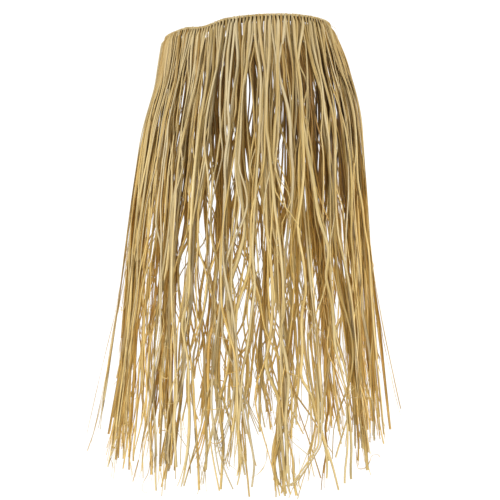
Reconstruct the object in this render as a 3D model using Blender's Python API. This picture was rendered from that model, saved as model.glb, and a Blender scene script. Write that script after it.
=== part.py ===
"""A grass skirt: raffia strands knotted side by side under a waist cord.

Metres, +Z up. The wearer faces -Y, and the wearer's left is +X. The origin is the centre of the waist
opening, level with the cord. The skirt keeps the hollow, flared form it has when worn low on the hips.
"""

import math
import random

import bmesh
import bpy
from mathutils import Vector

COLLECTION = "grass_skirt"

# The ring that the waist cord makes round the hips
RING_HALF_WIDTH = 0.172
RING_HALF_DEPTH = 0.128
RING_STEPS = 3600
RISE_AT_BACK = 0.0081
RISE_AT_LEFT = -0.0018
RISE_AT_SIDES = 0.0014
RISE_AT_QUARTERS = -0.0052
SLACK_ANGLE = math.radians(-78.0)
SLACK_SPREAD = math.radians(18.0)
SLACK_DEPTH = 0.006

# The waist cord and the tie that closes it at the back
CORD_DIAMETER = 0.005
TIE_ANGLE = math.radians(90.0)
TIE_LENGTH = 0.016
TIE_THICKNESS = 0.009

# The heading: a row of knots in a narrow strip under the cord
SEAM_GAP = 0.0003
HEADING_HEIGHT = 0.007
HEADING_THICKNESS = 0.0045
KNOT_BUMP = 0.0011
KNOTS_IN_SECTION = 15
FRONT_STRAND_PLACE = 0.25
BACK_STRAND_PLACE = 0.75
ROOT_OUT_SHARE = 0.2

# Eight sections, counted to the wearer's left from the front
SECTION_NAMES = (
    "front",
    "front_left",
    "left",
    "back_left",
    "back",
    "back_right",
    "right",
    "front_right",
)
KNOTS = KNOTS_IN_SECTION * len(SECTION_NAMES)

# The hang of the innermost layer: how far it stands out from the ring at a drop below the cord
BULGE = 0.031
BULGE_DROP = 0.130
BULGE_SOONER_AT_BACK = 0.090
BULGE_POWER = 1.5
FLARE = 0.0685
FLARE_MORE_AT_FRONT = 0.012

# Layers, from the inside out: each knot's front and back strand take the next layer in these rows
LAYER_STEP = 0.0034
LAYERS_START = 0.020
LAYERS_END = 0.190
FRONT_STRAND_LAYERS = (4, 3, 4, 3, 2)
BACK_STRAND_LAYERS = (1, 0, 2, 1, 0)
LAYER_COUNT = 5

# Sideways drift of each whole layer at the hem, and its slow wave along the ring
LAYER_DRIFT = (0.012, -0.010, 0.016, -0.014, 0.006)
LAYER_WAVE = 0.007
LAYER_WAVES_ROUND = 4
LAYER_WAVE_TURN = 1.7
DRIFT_START = 0.060
DRIFT_END = 0.700

# Locks, where strands gather as they hang: (angle in degrees, half width in degrees, pull from 0 to 1)
LOCKS = (
    (-150.0, 12.0, 0.45),
    (-112.0, 14.0, 0.55),
    (-79.0, 11.0, 0.55),
    (-50.0, 12.0, 0.35),
    (-24.0, 11.0, 0.32),
    (5.0, 10.0, 0.55),
    (34.0, 12.0, 0.42),
    (62.0, 13.0, 0.45),
    (92.0, 13.0, 0.50),
    (124.0, 14.0, 0.42),
    (152.0, 12.0, 0.50),
    (180.0, 12.0, 0.42),
)
LOCK_START = 0.130
LOCK_END = 0.620

# Strands
STRAND_DROP = 0.765
STRAND_DROP_SPREAD = 0.030
# Where the hem is shorter: the angle, its half width and how much shorter
HEM_RISES = (
    (math.radians(38.0), math.radians(48.0), 0.050),
    (math.radians(-135.0), math.radians(45.0), 0.018),
)
DROP_STATIONS = (0.018, 0.048, 0.110, 0.240, 0.410, 0.590)
STATIONS = len(DROP_STATIONS) + 1
ROOT_SHARE = 0.74
STRAND_THICKNESS = 0.0016
RIDGE_SHARE = 0.4
STRAND_WIDTHS = (0.0042, 0.0058)
TOP_WIDTH = 0.0033
WIDTH_START = 0.030
WIDTH_END = 0.200
TIP_SHARE = 0.72
MOST_TILT = math.radians(9.0)
MOST_RADIAL_WANDER = 0.00025
WANDER_SHARE = 0.42
MOST_WANDER = 0.0050
STRAND_CLEARANCE = 0.0006

# Strays in the outermost layer: (angle in degrees, reach past the layer at the tip, sideways reach)
STRAYS = (
    (-141.0, 0.046, -0.012),
    (-133.0, 0.026, -0.006),
    (-97.0, 0.020, 0.004),
    (-52.0, 0.016, 0.006),
    (-6.0, 0.018, -0.006),
    (33.0, 0.030, 0.010),
    (45.0, 0.020, 0.008),
    (88.0, 0.024, -0.006),
    (139.0, 0.026, 0.006),
    (178.0, 0.022, -0.008),
)
STRAY_START = 0.300
STRAY_POWER = 1.5

RANDOM_SEED = 1931

# Colours, roughness
CORD_COLOUR = (0.62, 0.48, 0.26, 1.0)
RAFFIA_COLOUR = (0.55, 0.40, 0.18, 1.0)
RAFFIA_ROUGHNESS = 0.55


def smooth_step(value, start, end):
    """From 0 at start to 1 at end, level at both."""
    share = min(max((value - start) / (end - start), 0.0), 1.0)
    return share * share * (3.0 - 2.0 * share)


def arc_table():
    """Length of cord from the front of the ring to each of RING_STEPS even angles."""
    step = 2.0 * math.pi / RING_STEPS
    runs = [0.0]
    for index in range(RING_STEPS):
        angle = -math.pi / 2.0 + (index + 0.5) * step
        across = RING_HALF_WIDTH * math.sin(angle)
        along = RING_HALF_DEPTH * math.cos(angle)
        runs.append(runs[-1] + math.hypot(across, along) * step)
    return runs


ARC_RUNS = arc_table()
GIRTH = ARC_RUNS[-1]
KNOT_PITCH = GIRTH / KNOTS


def ring_angle(run):
    """The angle on the ring that lies this length of cord past the front."""
    turns, rest = divmod(run, GIRTH)
    low, high = 0, RING_STEPS
    while high - low > 1:
        middle = (low + high) // 2
        if ARC_RUNS[middle] <= rest:
            low = middle
        else:
            high = middle
    share = (rest - ARC_RUNS[low]) / (ARC_RUNS[high] - ARC_RUNS[low])
    return -math.pi / 2.0 + 2.0 * math.pi * (turns + (low + share) / RING_STEPS)


def ring_run(angle):
    """The length of cord from the front to this angle, from 0 to GIRTH."""
    turn = ((angle + math.pi / 2.0) / (2.0 * math.pi)) % 1.0
    low = int(turn * RING_STEPS)
    share = turn * RING_STEPS - low
    return ARC_RUNS[low] + share * (ARC_RUNS[low + 1] - ARC_RUNS[low])


def angle_between(angle, other):
    """The signed turn from other to angle, within half a turn."""
    return (angle - other + math.pi) % (2.0 * math.pi) - math.pi


def ring_height(angle):
    """Height of the cord's centre line: it rises towards the back and a front quarter, with one slack dip."""
    even = RISE_AT_BACK * math.sin(angle) + RISE_AT_LEFT * math.cos(angle)
    sides = RISE_AT_SIDES * math.cos(2.0 * angle) + RISE_AT_QUARTERS * math.sin(2.0 * angle)
    off = abs(angle_between(angle, SLACK_ANGLE)) / SLACK_SPREAD
    dip = SLACK_DEPTH * 0.5 * (1.0 + math.cos(math.pi * off)) if off < 1.0 else 0.0
    return even + sides - dip


def ring_normal(angle):
    """The level direction that points straight out of the ring."""
    normal = Vector((RING_HALF_DEPTH * math.cos(angle), RING_HALF_WIDTH * math.sin(angle), 0.0))
    return normal.normalized()


def place(run, out, drop, root_run=None):
    """A point beside the ring: at this run, this far out, this far below the cord above root_run."""
    angle = ring_angle(run)
    top = ring_height(angle if root_run is None else ring_angle(root_run))
    on_ring = Vector((RING_HALF_WIDTH * math.cos(angle), RING_HALF_DEPTH * math.sin(angle), top - drop))
    return on_ring + ring_normal(angle) * out


def hang(run, drop):
    """How far the innermost layer stands out at this drop: it bulges sooner at the back."""
    back = ring_normal(ring_angle(run)).y
    bulge_drop = BULGE_DROP - BULGE_SOONER_AT_BACK * back
    flare = FLARE + FLARE_MORE_AT_FRONT * max(-back, 0.0)
    return BULGE * (1.0 - math.exp(-((drop / bulge_drop) ** BULGE_POWER))) + flare * drop


def lock_shift(run, drop):
    """How far a strand at this run is drawn along the ring towards the locks beside it."""
    angle = ring_angle(run)
    shift = 0.0
    for lock_degrees, half_width, pull in LOCKS:
        off = angle_between(angle, math.radians(lock_degrees)) / math.radians(half_width)
        shift -= pull * off * math.radians(half_width) * math.exp(-off * off)
    metres_a_radian = GIRTH / (2.0 * math.pi)
    return shift * metres_a_radian * smooth_step(drop, LOCK_START, LOCK_END)


def layer_shift(run, layer, drop):
    """The drift of a whole layer along the ring, by which strands of two layers cross."""
    turn = LAYER_WAVES_ROUND * 2.0 * math.pi * run / GIRTH + LAYER_WAVE_TURN * layer
    sideways = LAYER_DRIFT[layer] + LAYER_WAVE * math.sin(turn)
    return sideways * smooth_step(drop, DRIFT_START, DRIFT_END)


def room_at(run, drop):
    """Metres round the layer at this drop for each metre of cord."""
    ahead = place(run + KNOT_PITCH, hang(run, drop), 0.0, run)
    behind = place(run - KNOT_PITCH, hang(run, drop), 0.0, run)
    return (ahead - behind).length / (2.0 * KNOT_PITCH)


def hem_rise(run):
    """How much shorter the strands hang where the hem rises, at the wearer's two sides."""
    rise = 0.0
    for angle, half_width, most in HEM_RISES:
        off = abs(angle_between(ring_angle(run), angle)) / half_width
        rise += most * 0.5 * (1.0 + math.cos(math.pi * off)) if off < 1.0 else 0.0
    return rise


class Strand:
    """One strand of raffia: where its root lies, its layer and its path at each drop."""

    def __init__(self, knot, is_front, draw):
        row = FRONT_STRAND_LAYERS if is_front else BACK_STRAND_LAYERS
        self.is_front = is_front
        self.layer = row[knot % len(row)]
        self.root_run = (knot + (FRONT_STRAND_PLACE if is_front else BACK_STRAND_PLACE)) * KNOT_PITCH
        self.root_out = HEADING_THICKNESS * (ROOT_OUT_SHARE if is_front else -ROOT_OUT_SHARE)
        self.width = draw.uniform(*STRAND_WIDTHS)
        self.length = STRAND_DROP + draw.uniform(-STRAND_DROP_SPREAD, STRAND_DROP_SPREAD)
        self.length -= hem_rise(self.root_run)
        self.tilts = [draw.uniform(-MOST_TILT, MOST_TILT) for _ in range(STATIONS)]
        self.in_out = [draw.uniform(-MOST_RADIAL_WANDER, MOST_RADIAL_WANDER) for _ in self.tilts]
        self.wanders = [0.0 for _ in self.tilts]
        self.stray = (0.0, 0.0)

    def drops(self):
        """The drop at each station, the last one at the strand's own tip."""
        return list(DROP_STATIONS) + [self.length]

    def planned_run(self, drop):
        """Where along the ring the strand lies at this drop, before its own wander."""
        run = self.root_run + layer_shift(self.root_run, self.layer, drop)
        return run + lock_shift(run, drop)

    def centre(self, station):
        """(run, out, drop) of the strand's centre at a station."""
        drop = self.drops()[station]
        lift, swing = self.stray
        loose = (max(drop - STRAY_START, 0.0) / (self.length - STRAY_START)) ** STRAY_POWER
        run = self.planned_run(drop) + self.wanders[station] + swing * loose
        spread = smooth_step(drop, LAYERS_START, LAYERS_END)
        out = hang(run, drop) + self.root_out * (1.0 - spread) + self.layer * LAYER_STEP * spread
        return run, out + self.in_out[station] * spread + lift * loose, drop

    def width_at(self, drop):
        """The strand's width, narrow at its root and at its tip."""
        grown = TOP_WIDTH + (self.width - TOP_WIDTH) * smooth_step(drop, WIDTH_START, WIDTH_END)
        return grown * TIP_SHARE if drop >= self.length else grown

    def corners(self, station):
        """The strand's section at a station, in the order of its root's corners seen from below."""
        run, out, drop = self.centre(station)
        half_width = self.width_at(drop) / 2.0
        half_thick = STRAND_THICKNESS / 2.0
        ridge = RIDGE_SHARE * half_width
        tilt = self.tilts[station] * smooth_step(drop, WIDTH_START, WIDTH_END)
        if self.is_front:
            shape = ((-half_width, 0.0), (-ridge, -half_thick), (half_width, 0.0), (0.0, half_thick))
        else:
            shape = ((ridge, half_thick), (-half_width, -half_thick), (half_width, -half_thick))
        centre = place(run, out, drop, self.root_run)
        outward = ring_normal(ring_angle(run))
        along = Vector((-outward.y, outward.x, 0.0))
        wide = along * math.cos(tilt) + outward * math.sin(tilt)
        deep = outward * math.cos(tilt) - along * math.sin(tilt)
        return [centre + wide * x + deep * y for x, y in shape]


def let_wander(in_layer, station, drop, draw):
    """Moves each strand of a layer sideways at one station, within its share of the free room."""
    runs = [strand.planned_run(drop) for strand in in_layer]
    for index, strand in enumerate(in_layer):
        ahead = (runs[(index + 1) % len(runs)] - runs[index]) % GIRTH
        behind = (runs[index] - runs[index - 1]) % GIRTH
        scale = room_at(runs[index], drop)
        free = min(ahead, behind) - (STRAND_WIDTHS[1] + STRAND_CLEARANCE) / scale
        reach = min(max(WANDER_SHARE * free, 0.0), MOST_WANDER / scale)
        reach *= smooth_step(drop, LAYERS_START, LAYERS_END)
        strand.wanders[station] = draw.uniform(-reach, reach)


def all_strands():
    """Every strand, a front and a back one at each knot, with wanders that fit between neighbours."""
    draw = random.Random(RANDOM_SEED)
    strands = [Strand(knot, is_front, draw) for knot in range(KNOTS) for is_front in (True, False)]
    for layer in range(LAYER_COUNT):
        in_layer = [strand for strand in strands if strand.layer == layer]
        for station, drop in enumerate((*DROP_STATIONS, STRAND_DROP)):
            let_wander(in_layer, station, drop, draw)
    outer = [strand for strand in strands if strand.layer == LAYER_COUNT - 1]
    for degrees, lift, swing in STRAYS:
        angle = math.radians(degrees)
        nearest = min(outer, key=lambda strand: abs(angle_between(ring_angle(strand.root_run), angle)))
        nearest.stray = (lift, swing)
    return strands


def heading_sheet(mesh, first_knot):
    """The underside of a heading strip: two root faces a knot, in the order front, back."""
    top_drop = CORD_DIAMETER / 2.0 + SEAM_GAP
    low_drop = top_drop + HEADING_HEIGHT
    half = HEADING_THICKNESS / 2.0
    edges = []
    for index in range(KNOTS_IN_SECTION + 1):
        run = (first_knot + index) * KNOT_PITCH
        root_run = run
        if index == 0:
            run += SEAM_GAP / 2.0
        if index == KNOTS_IN_SECTION:
            run -= SEAM_GAP / 2.0
        outer = mesh.verts.new(place(run, half, low_drop, root_run))
        inner = mesh.verts.new(place(run, -half, low_drop, root_run))
        edges.append((outer, inner))
    faces = []
    for index in range(KNOTS_IN_SECTION):
        (outer, inner), (next_outer, next_inner) = edges[index], edges[index + 1]
        run = (first_knot + index + 0.5) * KNOT_PITCH
        bump = place(run, half + KNOT_BUMP, low_drop)
        bump.z = (outer.co.z + next_outer.co.z) / 2.0
        middle = mesh.verts.new(bump)
        faces.append(mesh.faces.new((outer, middle, next_outer, inner)))
        faces.append(mesh.faces.new((next_outer, next_inner, inner)))
    return faces


def strand_rings(face, strand):
    """The strand's corners at each station: its root face drawn in, then its own sections."""
    middle = face.calc_center_median()
    root_drop = CORD_DIAMETER / 2.0 + SEAM_GAP + HEADING_HEIGHT
    outward = ring_normal(ring_angle(strand.root_run))
    shift = outward * (hang(strand.root_run, DROP_STATIONS[0]) - hang(strand.root_run, root_drop))
    shift.z = root_drop - DROP_STATIONS[0]
    first = [middle + (corner.co - middle) * ROOT_SHARE + shift for corner in face.verts]
    return [first] + [strand.corners(station) for station in range(1, STATIONS)]


def grow_strand(mesh, face, strand):
    """Draws a root face down along its strand, one station at a time."""
    for corners in strand_rings(face, strand):
        face = bmesh.ops.extrude_discrete_faces(mesh, faces=[face])["faces"][0]
        for vertex, corner in zip(face.verts, corners):
            vertex.co = corner


def material(name, colour):
    """A plain raffia material."""
    made = bpy.data.materials.new(name)
    made.use_nodes = True
    shader = made.node_tree.nodes["Principled BSDF"]
    shader.inputs["Base Color"].default_value = colour
    shader.inputs["Roughness"].default_value = RAFFIA_ROUGHNESS
    shader.inputs["Metallic"].default_value = 0.0
    return made


def add_object(name, data, collection, finish):
    """Puts a named object with one material in the skirt's collection."""
    made = bpy.data.objects.new(name, data)
    data.materials.append(finish)
    collection.objects.link(made)
    return made


def build_fringe(section, strands, collection, finish):
    """One heading strip with its knots, and the strands that hang from it."""
    mesh = bmesh.new()
    first_knot = section * KNOTS_IN_SECTION - KNOTS_IN_SECTION // 2
    faces = heading_sheet(mesh, first_knot)
    lifted = bmesh.ops.extrude_face_region(mesh, geom=faces, use_keep_orig=True)
    rise = Vector((0.0, 0.0, HEADING_HEIGHT))
    for part in lifted["geom"]:
        if isinstance(part, bmesh.types.BMVert):
            part.co += rise
    for index, face in enumerate(faces):
        grow_strand(mesh, face, strands[(2 * first_knot + index) % len(strands)])
    bmesh.ops.recalc_face_normals(mesh, faces=mesh.faces[:])
    bmesh.ops.triangulate(mesh, faces=mesh.faces[:], quad_method="SHORT_EDGE")
    data = bpy.data.meshes.new(f"fringe_{SECTION_NAMES[section]}")
    mesh.to_mesh(data)
    mesh.free()
    add_object(data.name, data, collection, finish)


def build_cord(collection, finish):
    """The waist cord: a tube round the ring that stops just short of the tie at both ends."""
    tie_run = ring_run(TIE_ANGLE)
    end = TIE_LENGTH / 2.0 + SEAM_GAP
    knots_run = [knot * KNOT_PITCH for knot in range(KNOTS * 2)]
    first, last = tie_run + end, tie_run + GIRTH - end
    spare = 0.3 * KNOT_PITCH
    runs = [first] + [run for run in knots_run if first + spare < run < last - spare] + [last]
    curve = bpy.data.curves.new("waist_cord", "CURVE")
    curve.dimensions = "3D"
    curve.bevel_depth = CORD_DIAMETER / 2.0
    curve.bevel_resolution = 1
    curve.use_fill_caps = True
    spline = curve.splines.new("POLY")
    spline.points.add(len(runs) - 1)
    for point, run in zip(spline.points, runs):
        point.co = (*place(run, 0.0, 0.0), 1.0)
    add_object("waist_cord", curve, collection, finish)


def build_tie(collection, finish):
    """The knot that closes the cord, with its ends tucked in."""
    mesh = bmesh.new()
    bmesh.ops.create_uvsphere(mesh, u_segments=12, v_segments=8, radius=0.5)
    data = bpy.data.meshes.new("waist_tie")
    outward = ring_normal(TIE_ANGLE)
    along = Vector((-outward.y, outward.x, 0.0))
    rise = TIE_THICKNESS / 2.0 - CORD_DIAMETER / 2.0
    centre = place(ring_run(TIE_ANGLE), 0.0, -rise)
    for vertex in mesh.verts:
        x, y, z = vertex.co
        vertex.co = centre + along * (z * TIE_LENGTH) + outward * (y * TIE_THICKNESS)
        vertex.co.z += x * TIE_THICKNESS
    bmesh.ops.recalc_face_normals(mesh, faces=mesh.faces[:])
    mesh.to_mesh(data)
    mesh.free()
    add_object("waist_tie", data, collection, finish)


def main():
    """Clears the scene and builds the skirt."""
    for old in list(bpy.data.objects):
        bpy.data.objects.remove(old, do_unlink=True)
    collection = bpy.data.collections.new(COLLECTION)
    bpy.context.scene.collection.children.link(collection)
    cord_finish = material("cord_raffia", CORD_COLOUR)
    fringe_finish = material("strand_raffia", RAFFIA_COLOUR)
    build_cord(collection, cord_finish)
    build_tie(collection, cord_finish)
    strands = all_strands()
    for section in range(len(SECTION_NAMES)):
        build_fringe(section, strands, collection, fringe_finish)


main()
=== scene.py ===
"""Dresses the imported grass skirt: raffia ribbons and fibres, knots, waist cord, tie and a plain studio.

Metres, +Z up. The wearer faces -Y and the wearer's left is +X. A "run" is a length of cord, counted from
the front towards the wearer's left, and a "drop" is a height below the cord.
"""

import logging
import math
import random
from dataclasses import dataclass, field, fields
from enum import Enum
from typing import ClassVar

import bpy
import numpy as np
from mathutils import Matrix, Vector

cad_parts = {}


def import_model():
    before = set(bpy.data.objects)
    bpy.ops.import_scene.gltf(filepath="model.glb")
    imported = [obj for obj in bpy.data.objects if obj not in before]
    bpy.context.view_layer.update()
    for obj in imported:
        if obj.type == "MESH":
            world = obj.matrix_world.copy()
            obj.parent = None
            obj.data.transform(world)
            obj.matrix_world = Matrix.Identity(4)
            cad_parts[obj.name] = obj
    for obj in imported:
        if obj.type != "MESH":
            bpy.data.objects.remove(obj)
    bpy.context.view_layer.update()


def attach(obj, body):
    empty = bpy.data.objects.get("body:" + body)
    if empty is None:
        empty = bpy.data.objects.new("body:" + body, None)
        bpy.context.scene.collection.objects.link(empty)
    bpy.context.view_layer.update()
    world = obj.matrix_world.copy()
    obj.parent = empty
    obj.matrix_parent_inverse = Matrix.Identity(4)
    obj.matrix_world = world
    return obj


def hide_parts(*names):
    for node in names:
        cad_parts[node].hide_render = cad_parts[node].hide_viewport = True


Array = np.ndarray
Piece = bpy.types.Object
Material = bpy.types.Material
Span = tuple[float, float]
Triple = tuple[float, float, float]
Socket = bpy.types.NodeSocket
Sockets = bpy.types.bpy_prop_collection
Inputs = dict[str | int, object]

LOG = logging.getLogger("grass_skirt")
BODY = "root"
SECTION_NAMES = ("front", "front_left", "left", "back_left", "back", "back_right", "right", "front_right")
FRINGE_NODES = tuple(f"fringe_{name}" for name in SECTION_NAMES)
UV_NAME = "strand_uv"
TONE_NAME = "tone"
TURN = 2.0 * math.pi
FRONT = -TURN / 4.0
UP = np.array((0.0, 0.0, 1.0))
TINY = 1e-12
# Faces that meet at more than this angle keep a sharp edge between them
CREASE = math.radians(58.0)
# From none to all
WHOLE: Span = (0.0, 1.0)
# How often the grain, the streaks and the blotches of the knots repeat in each metre, each way
KNOT_REPEATS: tuple[Triple, ...] = ((260.0,) * 3, (780.0, 780.0, 260.0), (260.0 / 6.0,) * 3)
# The cord's plies get less painted shade at their margins than flat strands do
CORD_EDGE_SHADE_COLOUR: Triple = (0.78, 0.75, 0.70)


class Slot(Enum):
    """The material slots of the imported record."""

    CORD = "cord"
    RAFFIA = "raffia"


class Pattern(Enum):
    """What a finish's grain follows."""

    ALONG_STRAND = "along_strand"
    IN_PLACE = "in_place"


class LineData(Enum):
    """What each point of a line tells the tree that thickens it."""

    WIDTH = "line_width"
    FACING = "line_facing"
    ALONG = "line_along"
    ROUND = "line_round"


class Salt(Enum):
    """Sets the random numbers of one knot apart from each other."""

    LEAN = 1.0
    WIDE = 2.0
    DEEP = 3.0
    TONE = 4.0


def smooth_step(value: Array | float, start: float, end: float) -> Array:
    """Rises from 0 at start to 1 at end, level at both."""
    share = np.clip((np.asarray(value, float) - start) / (end - start), 0.0, 1.0)
    return share * share * (3.0 - 2.0 * share)


def hump(turn: Array | float, reach: float) -> Array:
    """Falls from 1 at no turn to 0 at the reach on either side, level at both."""
    return 0.5 * (1.0 + np.cos(math.pi * np.clip(np.abs(turn) / reach, 0.0, 1.0)))


def angle_between(angle: Array | float, other: float) -> Array:
    """Measures the signed turn from the other angle, within half a turn either way."""
    return (np.asarray(angle, float) - other + math.pi) % TURN - math.pi


def unit(vectors: Array) -> Array:
    """Brings each row of vectors to length 1."""
    return vectors / np.maximum(np.linalg.norm(vectors, axis=-1, keepdims=True), TINY)


def narrowed(places: Array, length: float, reach: float, share: float) -> Array:
    """Falls from 1 to a share over the last reach of a length."""
    return 1.0 - (1.0 - share) * smooth_step(places, length - reach, length)


def lengths_along(line: Array) -> Array:
    """Measures the length of a line from its start to each of its points."""
    return np.concatenate(([0.0], np.cumsum(np.linalg.norm(np.diff(line, axis=0), axis=1))))


def softened(places: Array, corners: Array, values: Array, rounding: float, readings: int) -> Array:
    """Reads a bent line with its corners rounded: each value is the mean of readings on both sides of it."""
    shifts = np.linspace(-rounding, rounding, readings)
    return sum(np.interp(places + shift, corners, values) for shift in shifts) / readings


def frame_along(
    line: Array, outward: Array, turns: Array | float, closed: bool = False
) -> tuple[Array, Array]:
    """Finds the directions across a strand and out of it, turned about its line.

    Args:
        line: The strand's points, from root to tip.
        outward: The direction that its outer side faces at each point.
        turns: The turn about the line at each point.
        closed: True for a line that ends where it starts.

    Returns:
        The directions across and out, one of each a point.
    """
    if closed:
        along = unit(np.roll(line, -1, axis=0) - np.roll(line, 1, axis=0))
    else:
        along = unit(np.gradient(line, axis=0))
    outward = unit(outward - along * np.sum(outward * along, axis=1, keepdims=True))
    side = np.cross(outward, along)
    turn = np.broadcast_to(turns, (len(line),))[:, None]
    return side * np.cos(turn) + outward * np.sin(turn), outward * np.cos(turn) - side * np.sin(turn)


def wound(centre: Array, outward: Array, turn: Array, radius: Array | float) -> tuple[Array, Array]:
    """Winds a line round another, and finds its points and the direction away from the other at each."""
    away = outward * np.cos(turn)[:, None] + UP * np.sin(turn)[:, None]
    return centre + away * np.broadcast_to(radius, turn.shape)[:, None], away


def write_values(mesh: bpy.types.Mesh, name: str, values: Array) -> None:
    """Gives each point of a mesh its number or its direction, under a name."""
    kind, slot = ("FLOAT", "value") if values.ndim == 1 else ("FLOAT_VECTOR", "vector")
    mesh.attributes.new(name, kind, "POINT").data.foreach_set(slot, values.astype(np.float32).ravel())


def linked(name: str, data: bpy.types.ID) -> Piece:
    """Puts a mesh, a camera or a lamp in the scene.

    Args:
        name: The object's name.
        data: What it shows.

    Returns:
        The object, at the origin.
    """
    made = bpy.data.objects.new(name, data)
    bpy.context.scene.collection.objects.link(made)
    return made


def stand_for(piece: Piece, slot: Slot, *nodes: str) -> Piece:
    """Lets a piece ride on the skirt's body and stand for solids.

    Args:
        piece: The piece.
        slot: Not used.
        nodes: The solids that it replaces.

    Returns:
        The same piece.
    """
    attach(piece, BODY)
    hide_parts(*nodes)
    return piece


@dataclass(frozen=True)
class Nodes:
    """Adds nodes to a tree, each with its inputs linked or set."""

    tree: bpy.types.NodeTree
    given: Sockets | None = None

    def __getitem__(self, name: str) -> Socket:
        """Finds one of the tree's own inputs."""
        return self.given[name]

    @staticmethod
    def named(sockets: Sockets, name: str | int) -> Socket:
        """Finds the socket in use that has a name, or a number."""
        in_use = (socket for socket in sockets if socket.name == name and socket.enabled)
        return sockets[name] if isinstance(name, int) else next(in_use)

    def add(self, kind: str, inputs: Inputs | None = None, **settings: object) -> bpy.types.Node:
        """Adds a node.

        Args:
            kind: The node's type.
            inputs: What each named or numbered input is linked to or set to.
            settings: The node's own settings.

        Returns:
            The node.
        """
        made = self.tree.nodes.new(kind)
        for name, value in settings.items():
            setattr(made, name, value)
        for name, value in (inputs or {}).items():
            socket = self.named(made.inputs, name)
            if isinstance(value, Socket):
                self.tree.links.new(value, socket)
            else:
                socket.default_value = value
        return made

    def made(self, kind: str, output: str, inputs: Inputs | None = None, **settings: object) -> Socket:
        """Adds a node, and finds the output that has the name."""
        return self.named(self.add(kind, inputs, **settings).outputs, output)

    def maths(self, operation: str, one: Socket | float, other: Socket | float) -> Socket:
        """Adds one step of arithmetic on two values."""
        return self.made("ShaderNodeMath", "Value", {0: one, 1: other}, operation=operation)

    def vectors(self, operation: str, inputs: Inputs) -> Socket:
        """Adds one step of arithmetic on vectors."""
        return self.made("ShaderNodeVectorMath", "Vector", inputs, operation=operation)

    def joined(self, *parts: Socket | float) -> Socket:
        """Joins three values in a vector."""
        return self.made("ShaderNodeCombineXYZ", "Vector", dict(enumerate(parts)))

    def part(self, axis: str, vector: Socket) -> Socket:
        """Takes one of the three values of a vector."""
        return self.made("ShaderNodeSeparateXYZ", axis, {"Vector": vector})

    def ranged(self, value: Socket, ends: Span, results: Span) -> Socket:
        """Maps a value from the range between two ends to that between two results."""
        names = ("Value", "From Min", "From Max", "To Min", "To Max")
        return self.made("ShaderNodeMapRange", "Result", dict(zip(names, (value, *ends, *results))))

    def stored(self, shape: Socket, name: str, value: Socket, kind: str, domain: str) -> Socket:
        """Keeps a value of a kind under a name, on each point, corner or instance of a shape."""
        inputs = {"Geometry": shape, "Name": name, "Value": value}
        return self.made("GeometryNodeStoreNamedAttribute", "Geometry", inputs, data_type=kind, domain=domain)

    def kept(self, name: LineData, kind: str = "FLOAT") -> Socket:
        """Reads what each point of a line says."""
        return self.made("GeometryNodeInputNamedAttribute", "Attribute", {"Name": name.value}, data_type=kind)

    def lines(self) -> Socket:
        """Turns the edges that the tree works on into curves."""
        return self.made("GeometryNodeMeshToCurve", "Curve", {"Mesh": self["Geometry"]})

    def circle(self, sides: Socket) -> Socket:
        """Adds a circle of diameter 1, the profile that is scaled and swept."""
        return self.made("GeometryNodeCurvePrimitiveCircle", "Curve", {"Resolution": sides, "Radius": 0.5})

    def moved(self, shape: Socket, **how: Socket | Triple) -> Socket:
        """Shifts, turns or scales a shape."""
        return self.made("GeometryNodeTransform", "Geometry", {"Geometry": shape, **how})

    def swept(self, line: Socket, profile: Socket, **more: Socket) -> Socket:
        """Sweeps a profile along a line, with its ends closed."""
        inputs = {"Curve": line, "Profile Curve": profile, "Fill Caps": True, **more}
        return self.made("GeometryNodeCurveToMesh", "Mesh", inputs)


@dataclass(frozen=True)
class Grown:
    """A piece that a tree of Geometry Nodes makes, with a named input for each number among its fields."""

    finish: Material
    tree_name: ClassVar[str]
    kinds: ClassVar[dict[type, str]] = {
        int: "NodeSocketInt",
        float: "NodeSocketFloat",
        Material: "NodeSocketMaterial",
    }

    def shape(self, nodes: Nodes) -> Socket:
        """Adds the nodes that make the shape, and finds their result."""
        raise NotImplementedError

    def grow(self, lines: Piece, name: str) -> Piece:
        """Builds the tree, runs it on lines, and keeps its result as a plain mesh in their place.

        Args:
            lines: The object that the tree works on, which is removed.
            name: The new piece's name.

        Returns:
            The new piece.
        """
        tree = bpy.data.node_groups.new(self.tree_name, "GeometryNodeTree")
        for way in ("INPUT", "OUTPUT"):
            tree.interface.new_socket("Geometry", in_out=way, socket_type="NodeSocketGeometry")
        values = {}
        for value, label in ((getattr(self, item.name), item.name) for item in fields(self)):
            if type(value) in self.kinds:
                words, kind = label.replace("_", " ").title(), self.kinds[type(value)]
                values[tree.interface.new_socket(words, in_out="INPUT", socket_type=kind).identifier] = value
        nodes = Nodes(tree, Nodes(tree).add("NodeGroupInput").outputs)
        real = nodes.made("GeometryNodeRealizeInstances", "Geometry", {"Geometry": self.shape(nodes)})
        smooth = nodes.made("GeometryNodeSetShadeSmooth", "Geometry", {"Geometry": real})
        inputs = {"Geometry": smooth, "Material": nodes["Finish"]}
        nodes.add("NodeGroupOutput", {0: nodes.made("GeometryNodeSetMaterial", "Geometry", inputs)})
        modifier = lines.modifiers.new(self.tree_name, "NODES")
        modifier.node_group = tree
        for identifier, value in values.items():
            modifier[identifier] = value
        bpy.context.view_layer.update()
        seen = lines.evaluated_get(bpy.context.evaluated_depsgraph_get())
        mesh = bpy.data.meshes.new_from_object(seen)
        mesh.name = name
        for kept in LineData:
            if kept.value in mesh.attributes:
                mesh.attributes.remove(mesh.attributes[kept.value])
        bpy.data.objects.remove(lines, do_unlink=True)
        return linked(name, mesh)


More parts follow.
